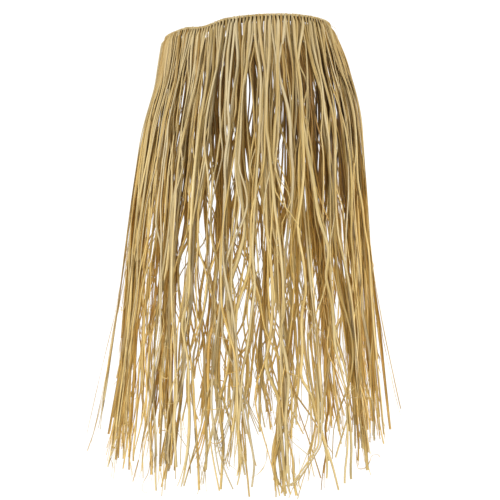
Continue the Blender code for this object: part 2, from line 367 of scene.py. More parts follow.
@dataclass
class Ring:
    """The closed line of the waist cord round the hips."""

    half_width: float = 0.172
    half_depth: float = 0.128
    rise_at_back: float = 0.0081
    rise_at_left: float = -0.0018
    rise_at_sides: float = 0.0014
    rise_at_quarters: float = -0.0052
    slack_angle: float = math.radians(-78.0)
    slack_reach: float = math.radians(18.0)
    slack_depth: float = 0.006
    steps: int = 3600
    runs: Array = field(init=False)
    angles: Array = field(init=False)
    girth: float = field(init=False)

    def __post_init__(self) -> None:
        """Measures the cord's length from the front to each even step of angle."""
        step = TURN / self.steps
        middles = FRONT + (np.arange(self.steps) + 0.5) * step
        lengths = np.hypot(self.half_width * np.sin(middles), self.half_depth * np.cos(middles)) * step
        self.runs = np.concatenate(([0.0], np.cumsum(lengths)))
        self.angles = FRONT + np.arange(self.steps + 1) * step
        self.girth = float(self.runs[-1])

    def even_runs(self, count: int) -> Array:
        """Lists runs at even steps all round the ring."""
        return np.arange(count) / count * self.girth

    def angle_at(self, run: Array | float) -> Array:
        """Finds the angle on the ring at a length of cord past the front."""
        turns = np.floor(np.asarray(run, float) / self.girth)
        return TURN * turns + np.interp(run - turns * self.girth, self.runs, self.angles)

    def run_at(self, angle: float) -> float:
        """Finds the length of cord from the front to an angle, from 0 to the girth."""
        turn = ((angle - FRONT) / TURN) % 1.0
        return float(np.interp(turn * TURN + FRONT, self.angles, self.runs))

    def height(self, angle: Array | float) -> Array:
        """Finds the height of the cord's centre line.

        Args:
            angle: Angles on the ring.

        Returns:
            Heights above the waist's origin, with the slack dip taken off.
        """
        even = self.rise_at_back * np.sin(angle) + self.rise_at_left * np.cos(angle)
        sides = self.rise_at_sides * np.cos(2.0 * angle) + self.rise_at_quarters * np.sin(2.0 * angle)
        dip = hump(angle_between(angle, self.slack_angle), self.slack_reach)
        return even + sides - self.slack_depth * dip

    def normal(self, angle: Array | float) -> Array:
        """Finds the level direction straight out of the ring, one a row for several angles."""
        across, along = self.half_depth * np.cos(angle), self.half_width * np.sin(angle)
        return unit(np.stack([across, along, np.zeros_like(across)], axis=-1))

    def place(
        self, run: Array | float, out: Array | float, drop: Array | float, root_run: Array | float
    ) -> Array:
        """Finds points beside the ring.

        Args:
            run: How far round the cord each point is.
            out: How far each point stands out of the ring.
            drop: How far each point lies below the cord.
            root_run: Where the cord's height is read.

        Returns:
            One point a row, or a single one.
        """
        angle = self.angle_at(run)
        high = self.height(self.angle_at(root_run)) - drop + np.zeros_like(angle)
        on_ring = np.stack([self.half_width * np.cos(angle), self.half_depth * np.sin(angle), high], axis=-1)
        return on_ring + self.normal(angle) * np.asarray(out)[..., None]


@dataclass
class Hang:
    """How the fringe hangs: its bulge over the hips, its flare, its layers and the locks it gathers in."""

    ring: Ring
    bulge: float = 0.031
    bulge_drop: float = 0.130
    bulge_sooner_at_back: float = 0.090
    bulge_power: float = 1.5
    flare: float = 0.0685
    flare_more_at_front: float = 0.012
    layer_step: float = 0.0034
    # The drops that each change begins and ends at
    layer_drops: Span = (0.020, 0.190)
    drift_drops: Span = (0.060, 0.700)
    lock_drops: Span = (0.130, 0.620)
    gather_drops: Span = (0.012, 0.120)
    growth_drops: Span = (0.250, 0.620)
    layer_drift: tuple[float, ...] = (0.012, -0.010, 0.016, -0.014, 0.006)
    layer_wave: float = 0.007
    layer_waves_round: int = 4
    layer_wave_turn: float = 1.7
    gather_growth: float = 0.6
    # Bundles round the ring, reach, turn for each metre of drop, first turn
    gathers: tuple[tuple[int, float, float, float], ...] = (
        (23, 0.0044, 7.0, 0.4),
        (37, 0.0031, -11.0, 2.1),
        (61, 0.0017, 17.0, 4.0),
    )
    # Angle in degrees, half width in degrees, pull
    locks: tuple[Triple, ...] = (
        (-150.0, 12.0, 0.45),
        (-112.0, 14.0, 0.55),
        (-79.0, 11.0, 0.55),
        (-50.0, 12.0, 0.35),
        (-24.0, 11.0, 0.32),
        (5.0, 10.0, 0.55),
        (34.0, 12.0, 0.42),
        (62.0, 13.0, 0.45),
        (92.0, 13.0, 0.50),
        (124.0, 14.0, 0.42),
        (152.0, 12.0, 0.50),
        (180.0, 12.0, 0.42),
    )

    def out_at(self, run: Array | float, drop: Array | float) -> Array:
        """Finds how far the innermost layer stands out of the ring.

        Args:
            run: Lengths of cord from the front.
            drop: Heights below the cord.

        Returns:
            Distances out.
        """
        back = self.ring.normal(self.ring.angle_at(run))[..., 1]
        bulge_drop = self.bulge_drop - self.bulge_sooner_at_back * back
        flare = self.flare + self.flare_more_at_front * np.maximum(-back, 0.0)
        drop = np.maximum(drop, 0.0)
        return self.bulge * (1.0 - np.exp(-((drop / bulge_drop) ** self.bulge_power))) + flare * drop

    def lock_shift(self, run: Array | float, drop: Array | float) -> Array:
        """Finds how far strands are drawn round the ring towards the locks beside them.

        Args:
            run: Lengths of cord from the front.
            drop: Heights below the cord.

        Returns:
            Shifts along the cord.
        """
        angle = self.ring.angle_at(run)
        shift = np.zeros_like(angle)
        for degrees, half_degrees, pull in self.locks:
            half = math.radians(half_degrees)
            off = angle_between(angle, math.radians(degrees)) / half
            shift -= pull * off * half * np.exp(-off * off)
        return shift * self.ring.girth / TURN * smooth_step(drop, *self.lock_drops)

    def gather_shift(self, run: Array, drop: Array) -> Array:
        """Finds how far strands lean together into small bundles, which wander as they go down.

        Args:
            run: Lengths of cord from the front.
            drop: Heights below the cord.

        Returns:
            Shifts along the cord.
        """
        shift = np.zeros_like(run)
        for bundles, reach, turn, first in self.gathers:
            shift -= reach * np.sin(bundles * TURN * run / self.ring.girth + turn * drop + first)
        growth = 1.0 + self.gather_growth * smooth_step(drop, *self.growth_drops)
        return shift * smooth_step(drop, *self.gather_drops) * growth

    def layer_shift(self, run: float, layer: float, drop: Array | float) -> Array:
        """Finds the drift of a whole layer round the ring, by which strands of two layers cross.

        Args:
            run: The strand's root.
            layer: The layer, which may lie between two whole ones.
            drop: Heights below the cord.

        Returns:
            Shifts along the cord.
        """
        turn = self.layer_waves_round * TURN * run / self.ring.girth + self.layer_wave_turn * layer
        drift = float(np.interp(layer, range(len(self.layer_drift)), self.layer_drift))
        return (drift + self.layer_wave * math.sin(turn)) * smooth_step(drop, *self.drift_drops)

    def planned_run(self, root_run: float, layer: float, drop: Array | float) -> Array:
        """Finds where round the ring a strand of a layer hangs, before its own wander."""
        run = root_run + self.layer_shift(root_run, layer, drop)
        return run + self.lock_shift(run, drop)

    def room_at(self, run: float, drop: float, pitch: float) -> float:
        """Measures the metres round the innermost layer for each metre of cord.

        Args:
            run: Where round the cord.
            drop: How far below it.
            pitch: The length of cord to measure over, each way.

        Returns:
            The stretch, 1 at the cord.
        """
        runs = np.array([run - pitch, run + pitch])
        behind, ahead = self.ring.place(runs, self.out_at(runs, drop), 0.0, run)
        return float(np.linalg.norm(ahead - behind)) / (2.0 * pitch)


@dataclass
class SolidStrand:
    """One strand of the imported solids, which a ribbon follows."""

    layer: int
    root_run: float
    width: float
    length: float
    wanders: list[float]
    lift: float = 0.0
    swing: float = 0.0


@dataclass
class SolidPlan:
    """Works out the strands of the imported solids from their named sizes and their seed."""

    hang: Hang
    seed: int = 1931
    knots: int = 120
    # Where on its knot's stretch of cord the front and the back strand hang, and their layers in turn
    rows: tuple[tuple[float, tuple[int, ...]], ...] = ((0.25, (4, 3, 4, 3, 2)), (0.75, (1, 0, 2, 1, 0)))
    stations: tuple[float, ...] = (0.018, 0.048, 0.110, 0.240, 0.410, 0.590)
    drop: float = 0.765
    drop_spread: float = 0.030
    widths: Span = (0.0042, 0.0058)
    wander_share: float = 0.42
    most_wander: float = 0.0050
    clearance: float = 0.0006
    # Angle in degrees, half width in degrees, how much shorter the strands are
    hem_rises: tuple[Triple, ...] = ((38.0, 48.0, 0.050), (-135.0, 45.0, 0.018))
    # Angle in degrees, reach past the layer at the tip, sideways reach
    strays: tuple[Triple, ...] = (
        (-141.0, 0.046, -0.012),
        (-133.0, 0.026, -0.006),
        (-97.0, 0.020, 0.004),
        (-52.0, 0.016, 0.006),
        (-6.0, 0.018, -0.006),
        (33.0, 0.030, 0.010),
        (45.0, 0.020, 0.008),
        (88.0, 0.024, -0.006),
        (139.0, 0.026, 0.006),
        (178.0, 0.022, -0.008),
    )

    @property
    def pitch(self) -> float:
        """The length of cord that one knot of the solids takes."""
        return self.hang.ring.girth / self.knots

    def hem_rise(self, run: float) -> float:
        """Finds how much shorter the strands hang where the hem rises.

        Args:
            run: The strand's root.

        Returns:
            The length taken off.
        """
        rise, angle = 0.0, self.hang.ring.angle_at(run)
        for degrees, half_degrees, most in self.hem_rises:
            turn = angle_between(angle, math.radians(degrees))
            rise += most * float(hump(turn, math.radians(half_degrees)))
        return rise

    def strand(self, knot: int, place: float, row: tuple[int, ...], draw: random.Random) -> SolidStrand:
        """Draws one strand, with its numbers in the order that the solids draw them.

        Args:
            knot: The knot that holds it, counted from the front.
            place: Its place on the knot's stretch of cord.
            row: The layers that such strands take in turn.
            draw: The source of numbers that all strands share.

        Returns:
            The strand, without its wander.
        """
        width = draw.uniform(*self.widths)
        length = self.drop + draw.uniform(-self.drop_spread, self.drop_spread)
        root_run = (knot + place) * self.pitch
        wanders = [0.0] * (len(self.stations) + 1)
        # A solid has a tilt and a depth of its own at each station, and a ribbon has neither
        for _ in (*wanders, *wanders):
            draw.random()
        return SolidStrand(row[knot % len(row)], root_run, width, length - self.hem_rise(root_run), wanders)

    def let_wander(self, row: list[SolidStrand], station: int, drop: float, draw: random.Random) -> None:
        """Moves each strand of a layer sideways at one station, within its share of the free room.

        Args:
            row: The strands of one layer, in order round the ring.
            station: The station's number.
            drop: The station's height below the cord.
            draw: The source of numbers that all strands share.
        """
        girth = self.hang.ring.girth
        runs = [float(self.hang.planned_run(one.root_run, one.layer, drop)) for one in row]
        for index, one in enumerate(row):
            ahead = (runs[(index + 1) % len(runs)] - runs[index]) % girth
            behind = (runs[index] - runs[index - 1]) % girth
            scale = self.hang.room_at(runs[index], drop, self.pitch)
            free = min(ahead, behind) - (self.widths[1] + self.clearance) / scale
            reach = min(max(self.wander_share * free, 0.0), self.most_wander / scale)
            reach *= float(smooth_step(drop, *self.hang.layer_drops))
            one.wanders[station] = draw.uniform(-reach, reach)

    def strands(self) -> list[SolidStrand]:
        """Works out every strand, a front and a back one at each knot.

        Returns:
            The strands, in order round the ring.
        """
        draw = random.Random(self.seed)
        made = [self.strand(knot, *row, draw) for knot in range(self.knots) for row in self.rows]
        layers = len(self.hang.layer_drift)
        for layer in range(layers):
            row = [one for one in made if one.layer == layer]
            for station, drop in enumerate((*self.stations, self.drop)):
                self.let_wander(row, station, drop, draw)
        outer = [one for one in made if one.layer == layers - 1]
        roots = np.array([self.hang.ring.angle_at(one.root_run) for one in outer])
        for degrees, lift, swing in self.strays:
            nearest = outer[int(np.argmin(np.abs(angle_between(roots, math.radians(degrees)))))]
            nearest.lift, nearest.swing = lift, swing
        return made


@dataclass
class Bends:
    """A sideways wander made of straight stretches with soft bends between them."""

    drops: Array
    offsets: Array
    straight_root: float = 0.008
    first_gap: float = 0.6
    reach_at_root: float = 0.55
    carried_on: float = 0.35
    rounding: float = 0.007
    readings: int = 3

    @classmethod
    def drawn(cls, draw: random.Random, length: float, gaps: Span, reach: float) -> "Bends":
        """Draws the bends of one strand.

        Args:
            draw: The source of numbers.
            length: The strand's length.
            gaps: The least and the most distance between two bends.
            reach: How far a bend may stand off the strand's line at its foot.

        Returns:
            The bends, none of them at the root.
        """
        drops = [0.0, cls.straight_root, cls.straight_root + cls.first_gap * draw.uniform(*gaps)]
        offsets = [0.0, 0.0, draw.uniform(-1.0, 1.0) * reach]
        while drops[-1] < length:
            drops.append(drops[-1] + draw.uniform(*gaps))
            here = reach * min(cls.reach_at_root + drops[-1] / length, 1.0)
            offsets.append(cls.carried_on * offsets[-1] + draw.uniform(-here, here))
        return cls(np.array(drops), np.array(offsets))

    def at(self, drop: Array) -> Array:
        """Reads the wander at heights below the cord."""
        return softened(drop, self.drops, self.offsets, self.rounding, self.readings)


@dataclass
class Course:
    """The line that one strand follows from its knot to its tip."""

    hang: Hang
    root_run: float
    leg_run: float
    layer: float
    length: float
    tip: float
    sideways: Bends
    radial: Bends
    lean: float
    splay_length: float
    splay_side: float
    splay_out: float
    # The drops of the solids' stations, and the wander at each
    stations: tuple[tuple[float, ...], tuple[float, ...]] = ((0.0,), (0.0,))
    lift: float = 0.0
    swing: float = 0.0
    lean_drops: Span = (0.02, 0.40)
    leg_drops: Span = (0.008, 0.070)
    leg_out: float = 0.0019
    leg_out_drops: Span = (0.002, 0.016)
    early_spread: float = 0.36
    early_drops: Span = (0.003, 0.014)
    stray_start: float = 0.300
    stray_power: float = 1.5

    def at(self, drop: Array, across: Array | float = 0.0, proud: Array | float = 0.0) -> tuple[Array, Array]:
        """Finds the strand's line.

        Args:
            drop: Heights below the cord.
            across: How far to the side of the line, in metres of cord.
            proud: How far outside the line.

        Returns:
            The points, and the direction straight out at each.
        """
        hang = self.hang
        run = hang.planned_run(self.root_run, self.layer, drop) + self.sideways.at(drop)
        run = run + np.interp(drop, *self.stations) + self.lean * drop * smooth_step(drop, *self.lean_drops)
        run = run + (self.leg_run - self.root_run) * (1.0 - smooth_step(drop, *self.leg_drops))
        loose = np.maximum(drop - self.stray_start, 0.0) / (self.length - self.stray_start)
        splay = np.maximum(drop - self.length + self.splay_length, 0.0) / self.splay_length
        loose, splay = loose**self.stray_power, splay**self.stray_power
        # Ribbons lie closer in a lock than the solids do, so they are drawn to it twice
        run = run + hang.lock_shift(run, drop)
        run = run + hang.gather_shift(run, drop)
        run = run + self.swing * loose + self.splay_side * splay + across
        early = self.early_spread * smooth_step(drop, *self.early_drops)
        spread = np.maximum(smooth_step(drop, *hang.layer_drops), early)
        out = hang.out_at(run, drop) + self.layer * hang.layer_step * spread
        out = out + self.leg_out * (1.0 - smooth_step(drop, *self.leg_out_drops)) + self.radial.at(drop)
        out = out + self.lift * loose + self.splay_out * splay + proud
        return hang.ring.place(run, out, drop, self.root_run), hang.ring.normal(hang.ring.angle_at(run))


@dataclass(frozen=True)
class Fold:
    """The cross-section of a ribbon folded along a ridge, in shares of its width."""

    ridge: float
    height: float
    thickness: float
    shoulder: float = 0.62
    inset: float = 0.96
    # 1 for a corner on the inner side, which takes the ribbon's painted shade, in the order that corners()
    # lists them
    inside: ClassVar[tuple[float, ...]] = (0.0,) * 5 + (1.0,) * 3

    def corners(self) -> Array:
        """Lists its corners, outer side first.

        Returns:
            One corner a row, as a share across and one out.
        """
        left, right = (self.ridge - 0.5) / 2.0, (self.ridge + 0.5) / 2.0
        low, high = self.shoulder * self.height, self.height
        outer = [(-0.5, 0.0), (left, low), (self.ridge, high), (right, low), (0.5, 0.0)]
        inner = [(right * self.inset, low), (self.ridge, high), (left * self.inset, low)]
        return np.array(outer + [(across, out - self.thickness) for across, out in inner])


@dataclass
class RibbonMesh:
    """Gathers folded ribbons into one mesh, with a map along each and a tone for each."""

    # Painted shade: how much browner a ribbon's inner side is, standing in for the shade inside the skirt
    inside_painted_shade: float = 0.14
    points: list[Array] = field(default_factory=list)
    tones: list[Array] = field(default_factory=list)
    faces: list[list[int]] = field(default_factory=list)
    corners: list[Array] = field(default_factory=list)
    count: int = 0

    def add(
        self,
        line: Array,
        outward: Array,
        width: Array,
        turns: Array,
        fold: Fold,
        depth: Array,
        tone: float,
        offset: float,
    ) -> None:
        """Adds one ribbon.

        Args:
            line: The ribbon's points, from root to tip.
            outward: The direction that its outer side faces at each point.
            width: The width at each point.
            turns: The turn about the line at each point.
            fold: The cross-section.
            depth: How much deeper the fold is than drawn at each point.
            tone: The ribbon's tone.
            offset: Where the ribbon starts on the map, in metres.
        """
        wide, deep = frame_along(line, outward, turns)
        across, out = fold.corners().T[:, None, :, None]
        shape = wide[:, None] * across + (deep * depth[:, None])[:, None] * out
        rings = line[:, None] + width[:, None, None] * shape
        rows, sides = rings.shape[:2]
        places = offset + lengths_along(line)
        self.points.append(rings.reshape(-1, 3))
        # The inner side's corners get the painted shade
        self.tones.append(np.tile(tone + self.inside_painted_shade * np.array(fold.inside), rows))
        index = self.count + np.arange(rows * sides).reshape(rows, sides)
        beside = np.roll(index, -1, axis=1)
        walls = np.stack([index[:-1], beside[:-1], beside[1:], index[1:]], axis=-1)
        self.faces += [*walls.reshape(-1, 4).tolist(), index[0, ::-1].tolist(), index[-1].tolist()]
        left = np.arange(sides) / sides
        right = left + 1.0 / sides
        low, high = places[:-1, None], places[1:, None]
        wall_map = np.empty((rows - 1, sides, 4, 2))
        wall_map[..., 0] = np.stack([left, right, right, left], axis=-1)
        wall_map[..., 1] = np.concatenate([low, low, high, high], axis=1)[:, None]
        ends = ((left[::-1], places[0]), (left, places[-1]))
        self.corners.append(wall_map.reshape(-1, 2))
        self.corners += [np.stack([round_it, np.full(sides, place)], axis=-1) for round_it, place in ends]
        self.count += rows * sides

    def make(self, name: str, finish: Material) -> Piece:
        """Makes the object.

        Args:
            name: The piece's name.
            finish: Its material.

        Returns:
            The new object, at the origin.
        """
        mesh = bpy.data.meshes.new(name)
        mesh.from_pydata(np.concatenate(self.points).tolist(), [], self.faces)
        layer = mesh.uv_layers.new(name=UV_NAME)
        layer.data.foreach_set("uv", np.concatenate(self.corners).astype(np.float32).ravel())
        write_values(mesh, TONE_NAME, np.concatenate(self.tones))
        mesh.materials.append(finish)
        mesh.shade_smooth()
        mesh.set_sharp_from_angle(angle=CREASE)
        return linked(name, mesh)


@dataclass
class FibreLines:
    """Gathers the lines that fibres follow; each point says how wide, turned and brown its fibre is."""

    points: list[Array] = field(default_factory=list)
    edges: list[Array] = field(default_factory=list)
    values: dict[str, list[Array]] = field(default_factory=dict)
    count: int = 0

    def add(
        self,
        line: Array,
        outward: Array,
        width: Array | float,
        tone: Array | float,
        offset: float,
        turns: Array | float = 0.0,
        closed: bool = False,
    ) -> None:
        """Adds one line.

        Args:
            line: The line's points, from root to tip.
            outward: The direction that the fibre's outer side faces at each point.
            width: The fibre's width, or one for each point.
            tone: Its tone, or one for each point.
            offset: Where it starts on the map, in metres.
            turns: Its turn about the line, or one for each point.
            closed: True for a line that ends where it starts.
        """
        rows, lengths = len(line), lengths_along(line)
        if closed:
            lengths = np.minimum(lengths, lengths[-1] - lengths)
        index = self.count + np.arange(rows)
        pairs = np.stack([index, np.roll(index, -1)], axis=-1)
        self.points.append(line)
        self.edges.append(pairs if closed else pairs[:-1])
        said = {
            LineData.WIDTH.value: np.broadcast_to(width, (rows,)),
            LineData.FACING.value: frame_along(line, outward, turns, closed)[1],
            LineData.ALONG.value: offset + lengths,
            TONE_NAME: np.broadcast_to(tone, (rows,)),
        }
        for name, values in said.items():
            self.values.setdefault(name, []).append(values)
        self.count += rows

    def make(self, name: str) -> Piece:
        """Makes the lines, ready to be thickened.

        Args:
            name: The object's name.

        Returns:
            The new object, at the origin.
        """
        mesh = bpy.data.meshes.new(name)
        mesh.from_pydata(np.concatenate(self.points).tolist(), np.concatenate(self.edges).tolist(), [])
        for label, values in self.values.items():
            write_values(mesh, label, np.concatenate(values))
        return linked(name, mesh)


@dataclass(frozen=True)
class Thickener(Grown):
    """Turns lines into fibres, each as wide as its points say and turned as they face."""

    sides: int = 4
    flatness: float = 0.45
    tree_name: ClassVar[str] = "thickened_lines"
    # The map runs from one margin to the other on both faces, so it has no seam
    margin_turn: ClassVar[float] = 0.25
    face_turn: ClassVar[float] = 0.5

    def shape(self, nodes: Nodes) -> Socket:
        """Adds the nodes that sweep a flattened circle along each line.

        Args:
            nodes: The tree's nodes.

        Returns:
            The fibres, with their map.
        """
        factor = nodes.made("GeometryNodeSplineParameter", "Factor")
        turned_on = nodes.maths("ADD", factor, self.margin_turn)
        round_it = nodes.maths("PINGPONG", turned_on, self.face_turn)
        marked = nodes.stored(nodes.circle(nodes["Sides"]), LineData.ROUND.value, round_it, "FLOAT", "POINT")
        profile = nodes.moved(marked, Scale=nodes.joined(nodes["Flatness"], 1.0, 1.0))
        inputs = {"Curve": nodes.lines(), "Normal": nodes.kept(LineData.FACING, "FLOAT_VECTOR")}
        turned = nodes.made("GeometryNodeSetCurveNormal", "Curve", inputs, mode="FREE")
        fibres = nodes.swept(turned, profile, Scale=nodes.kept(LineData.WIDTH))
        place = nodes.joined(nodes.kept(LineData.ROUND), nodes.kept(LineData.ALONG), 0.0)
        return nodes.stored(fibres, UV_NAME, place, "FLOAT2", "CORNER")

    def build(self, lines: FibreLines, name: str) -> Piece:
        """Thickens lines into one piece.

        Args:
            lines: The lines.
            name: The piece's name.

        Returns:
            The piece.
        """
        piece = self.grow(lines.make(name), name)
        piece.data.set_sharp_from_angle(angle=CREASE)
        return piece


@dataclass(frozen=True)
class RaffiaFinish:
    """Dry raffia: straw to gold-brown by the strand's tone, with a lengthwise grain and a satin gloss."""

    name: str
    pattern: Pattern = Pattern.ALONG_STRAND
    # How often the grain, the streaks and the blotches repeat in each metre, across, along and in depth
    repeats: tuple[Triple, ...] = ((7.0, 16.0, 1.0), (26.0, 42.0, 1.0), (1.3, 7.0, 1.0))
    details: Triple = (3.0, 2.0, 2.0)
    # Tone, colour
    colours: tuple[tuple[float, Triple], ...] = (
        (0.00, (0.690, 0.565, 0.325)),
        (0.28, (0.590, 0.430, 0.175)),
        (0.52, (0.475, 0.303, 0.088)),
        (0.76, (0.310, 0.160, 0.027)),
        (1.00, (0.080, 0.042, 0.011)),
    )
    noise_roughness: float = 0.6
    noise_ends: Span = (0.30, 0.70)
    grain_tones: Span = (-0.17, 0.17)
    blotch_tones: Span = (-0.12, 0.12)
    streak_shades: Span = (0.68, 1.14)
    # Painted shade darkens each strand towards its margins, standing in for the shade between strands; the
    # margins lie at every half turn round a strand's section
    edge_turn: float = 0.25
    edge_ends: Span = (0.0, 0.125)
    edge_shade_colour: Triple = (0.37, 0.31, 0.22)
    # Painted light: the lower half is lighter, most of all where it is golden, standing in for light shining
    # through the strands near the hem
    painted_hem_light_gain: Triple = (0.64, 0.68, 0.52)
    low_heights: Span = (-0.08, -0.34)
    low_tones: Span = (0.05, 0.45)
    roughness: Span = (0.40, 0.62)
    bump_strength: float = 0.6
    bump_height: float = 0.0003
    specular: float = 0.34

    def noise(self, nodes: Nodes, base: Socket, repeats: Triple, detail: float) -> Socket:
        """Adds a noise pattern stretched along the strand.

        Args:
            nodes: The material's nodes.
            base: The coordinates that it reads.
            repeats: How often it repeats across, along and in depth.
            detail: How fine it goes.

        Returns:
            The pattern's height, from 0 to 1.
        """
        placed = nodes.made("ShaderNodeMapping", "Vector", {"Vector": base, "Scale": repeats})
        inputs = {"Vector": placed, "Scale": 1.0, "Detail": detail, "Roughness": self.noise_roughness}
        return nodes.made("ShaderNodeTexNoise", "Fac", inputs)

    def painted_hem_light(self, nodes: Nodes, tone: Socket) -> Socket:
        """Finds the painted light: how much lighter each channel of a golden colour is towards the hem.

        Args:
            nodes: The material's nodes.
            tone: The strand's tone.

        Returns:
            What the colour is multiplied by, 1 at the top.
        """
        height = nodes.part("Z", nodes.made("ShaderNodeTexCoord", "Object"))
        low = nodes.ranged(height, self.low_heights, WHOLE)
        share = nodes.maths("MULTIPLY", low, nodes.ranged(tone, self.low_tones, WHOLE))
        return nodes.vectors("MULTIPLY_ADD", {0: self.painted_hem_light_gain, 1: share, 2: (1.0, 1.0, 1.0)})

    def edge_shade(self, nodes: Nodes, base: Socket) -> Socket:
        """Finds the painted shade: how much darker each channel is at the margins of a strand.

        Args:
            nodes: The material's nodes.
            base: The coordinates round and along the strand.

        Returns:
            What the colour is multiplied by, 1 away from the margins.
        """
        wave = nodes.maths("PINGPONG", nodes.part("X", base), self.edge_turn)
        share = nodes.ranged(wave, self.edge_ends, WHOLE)
        lighter = tuple(1.0 - part for part in self.edge_shade_colour)
        return nodes.vectors("MULTIPLY_ADD", {0: share, 1: lighter, 2: self.edge_shade_colour})

    def make(self) -> Material:
        """Makes the material.

        Returns:
            The material.
        """
        made = bpy.data.materials.new(self.name)
        made.use_nodes = True
        nodes, follows = Nodes(made.node_tree), self.pattern is Pattern.ALONG_STRAND
        if follows:
            base = nodes.made("ShaderNodeUVMap", "UV", uv_map=UV_NAME)
        else:
            base = nodes.made("ShaderNodeTexCoord", "Object")
        grain, streak, blotch = (self.noise(nodes, base, *row) for row in zip(self.repeats, self.details))
        tone = nodes.made("ShaderNodeAttribute", "Fac", attribute_name=TONE_NAME)
        total = tone
        for pattern, tones in ((grain, self.grain_tones), (blotch, self.blotch_tones)):
            total = nodes.maths("ADD", total, nodes.ranged(pattern, self.noise_ends, tones))
        ramp = nodes.add("ShaderNodeValToRGB", {"Fac": total})
        stops = ramp.color_ramp.elements
        while len(stops) < len(self.colours):
            stops.new(0.5)
        for stop, (place, colour) in zip(stops, self.colours):
            stop.position, stop.color = place, (*colour, 1.0)
        streaked = nodes.ranged(streak, self.noise_ends, self.streak_shades)
        colour = nodes.vectors("SCALE", {0: ramp.outputs["Color"], "Scale": streaked})
        if follows:
            # Painted light towards the hem, then painted shade at the strand margins
            for shade in (self.painted_hem_light(nodes, tone), self.edge_shade(nodes, base)):
                colour = nodes.vectors("MULTIPLY", {0: colour, 1: shade})
        height = nodes.maths("ADD", grain, streak)
        inputs = {"Strength": self.bump_strength, "Distance": self.bump_height, "Height": height}
        links = {
            "Base Color": colour,
            "Roughness": nodes.ranged(grain, self.noise_ends, self.roughness),
            "Normal": nodes.made("ShaderNodeBump", "Normal", inputs),
        }
        shader = made.node_tree.nodes["Principled BSDF"]
        for name, source in links.items():
            nodes.tree.links.new(source, shader.inputs[name])
        shader.inputs["Specular IOR Level"].default_value = self.specular
        return made


@dataclass(frozen=True)
class Bending:
    """How one kind of strand bends."""

    # The distance between stations, and the least and the most distance between two bends
    step: float
    gaps: Span
    sideways: float
    in_and_out: float
    most_lean: float = 0.0


@dataclass(frozen=True)
class StrandMake:
    """The ranges that one kind of strand is drawn from."""

    count: int
    widths: Span
    lengths: Span
    layers: Span
    bending: Bending
    # How much browner it is than a main ribbon, and how much painted shade it gets near the knots on top of
    # that
    tone: float
    shadow: float = 0.0


@dataclass
class Bundle:
    """The strands of one section: folded ribbons, and the lines of its fibres."""

    ribbons: RibbonMesh = field(default_factory=RibbonMesh)
    fibres: FibreLines = field(default_factory=FibreLines)


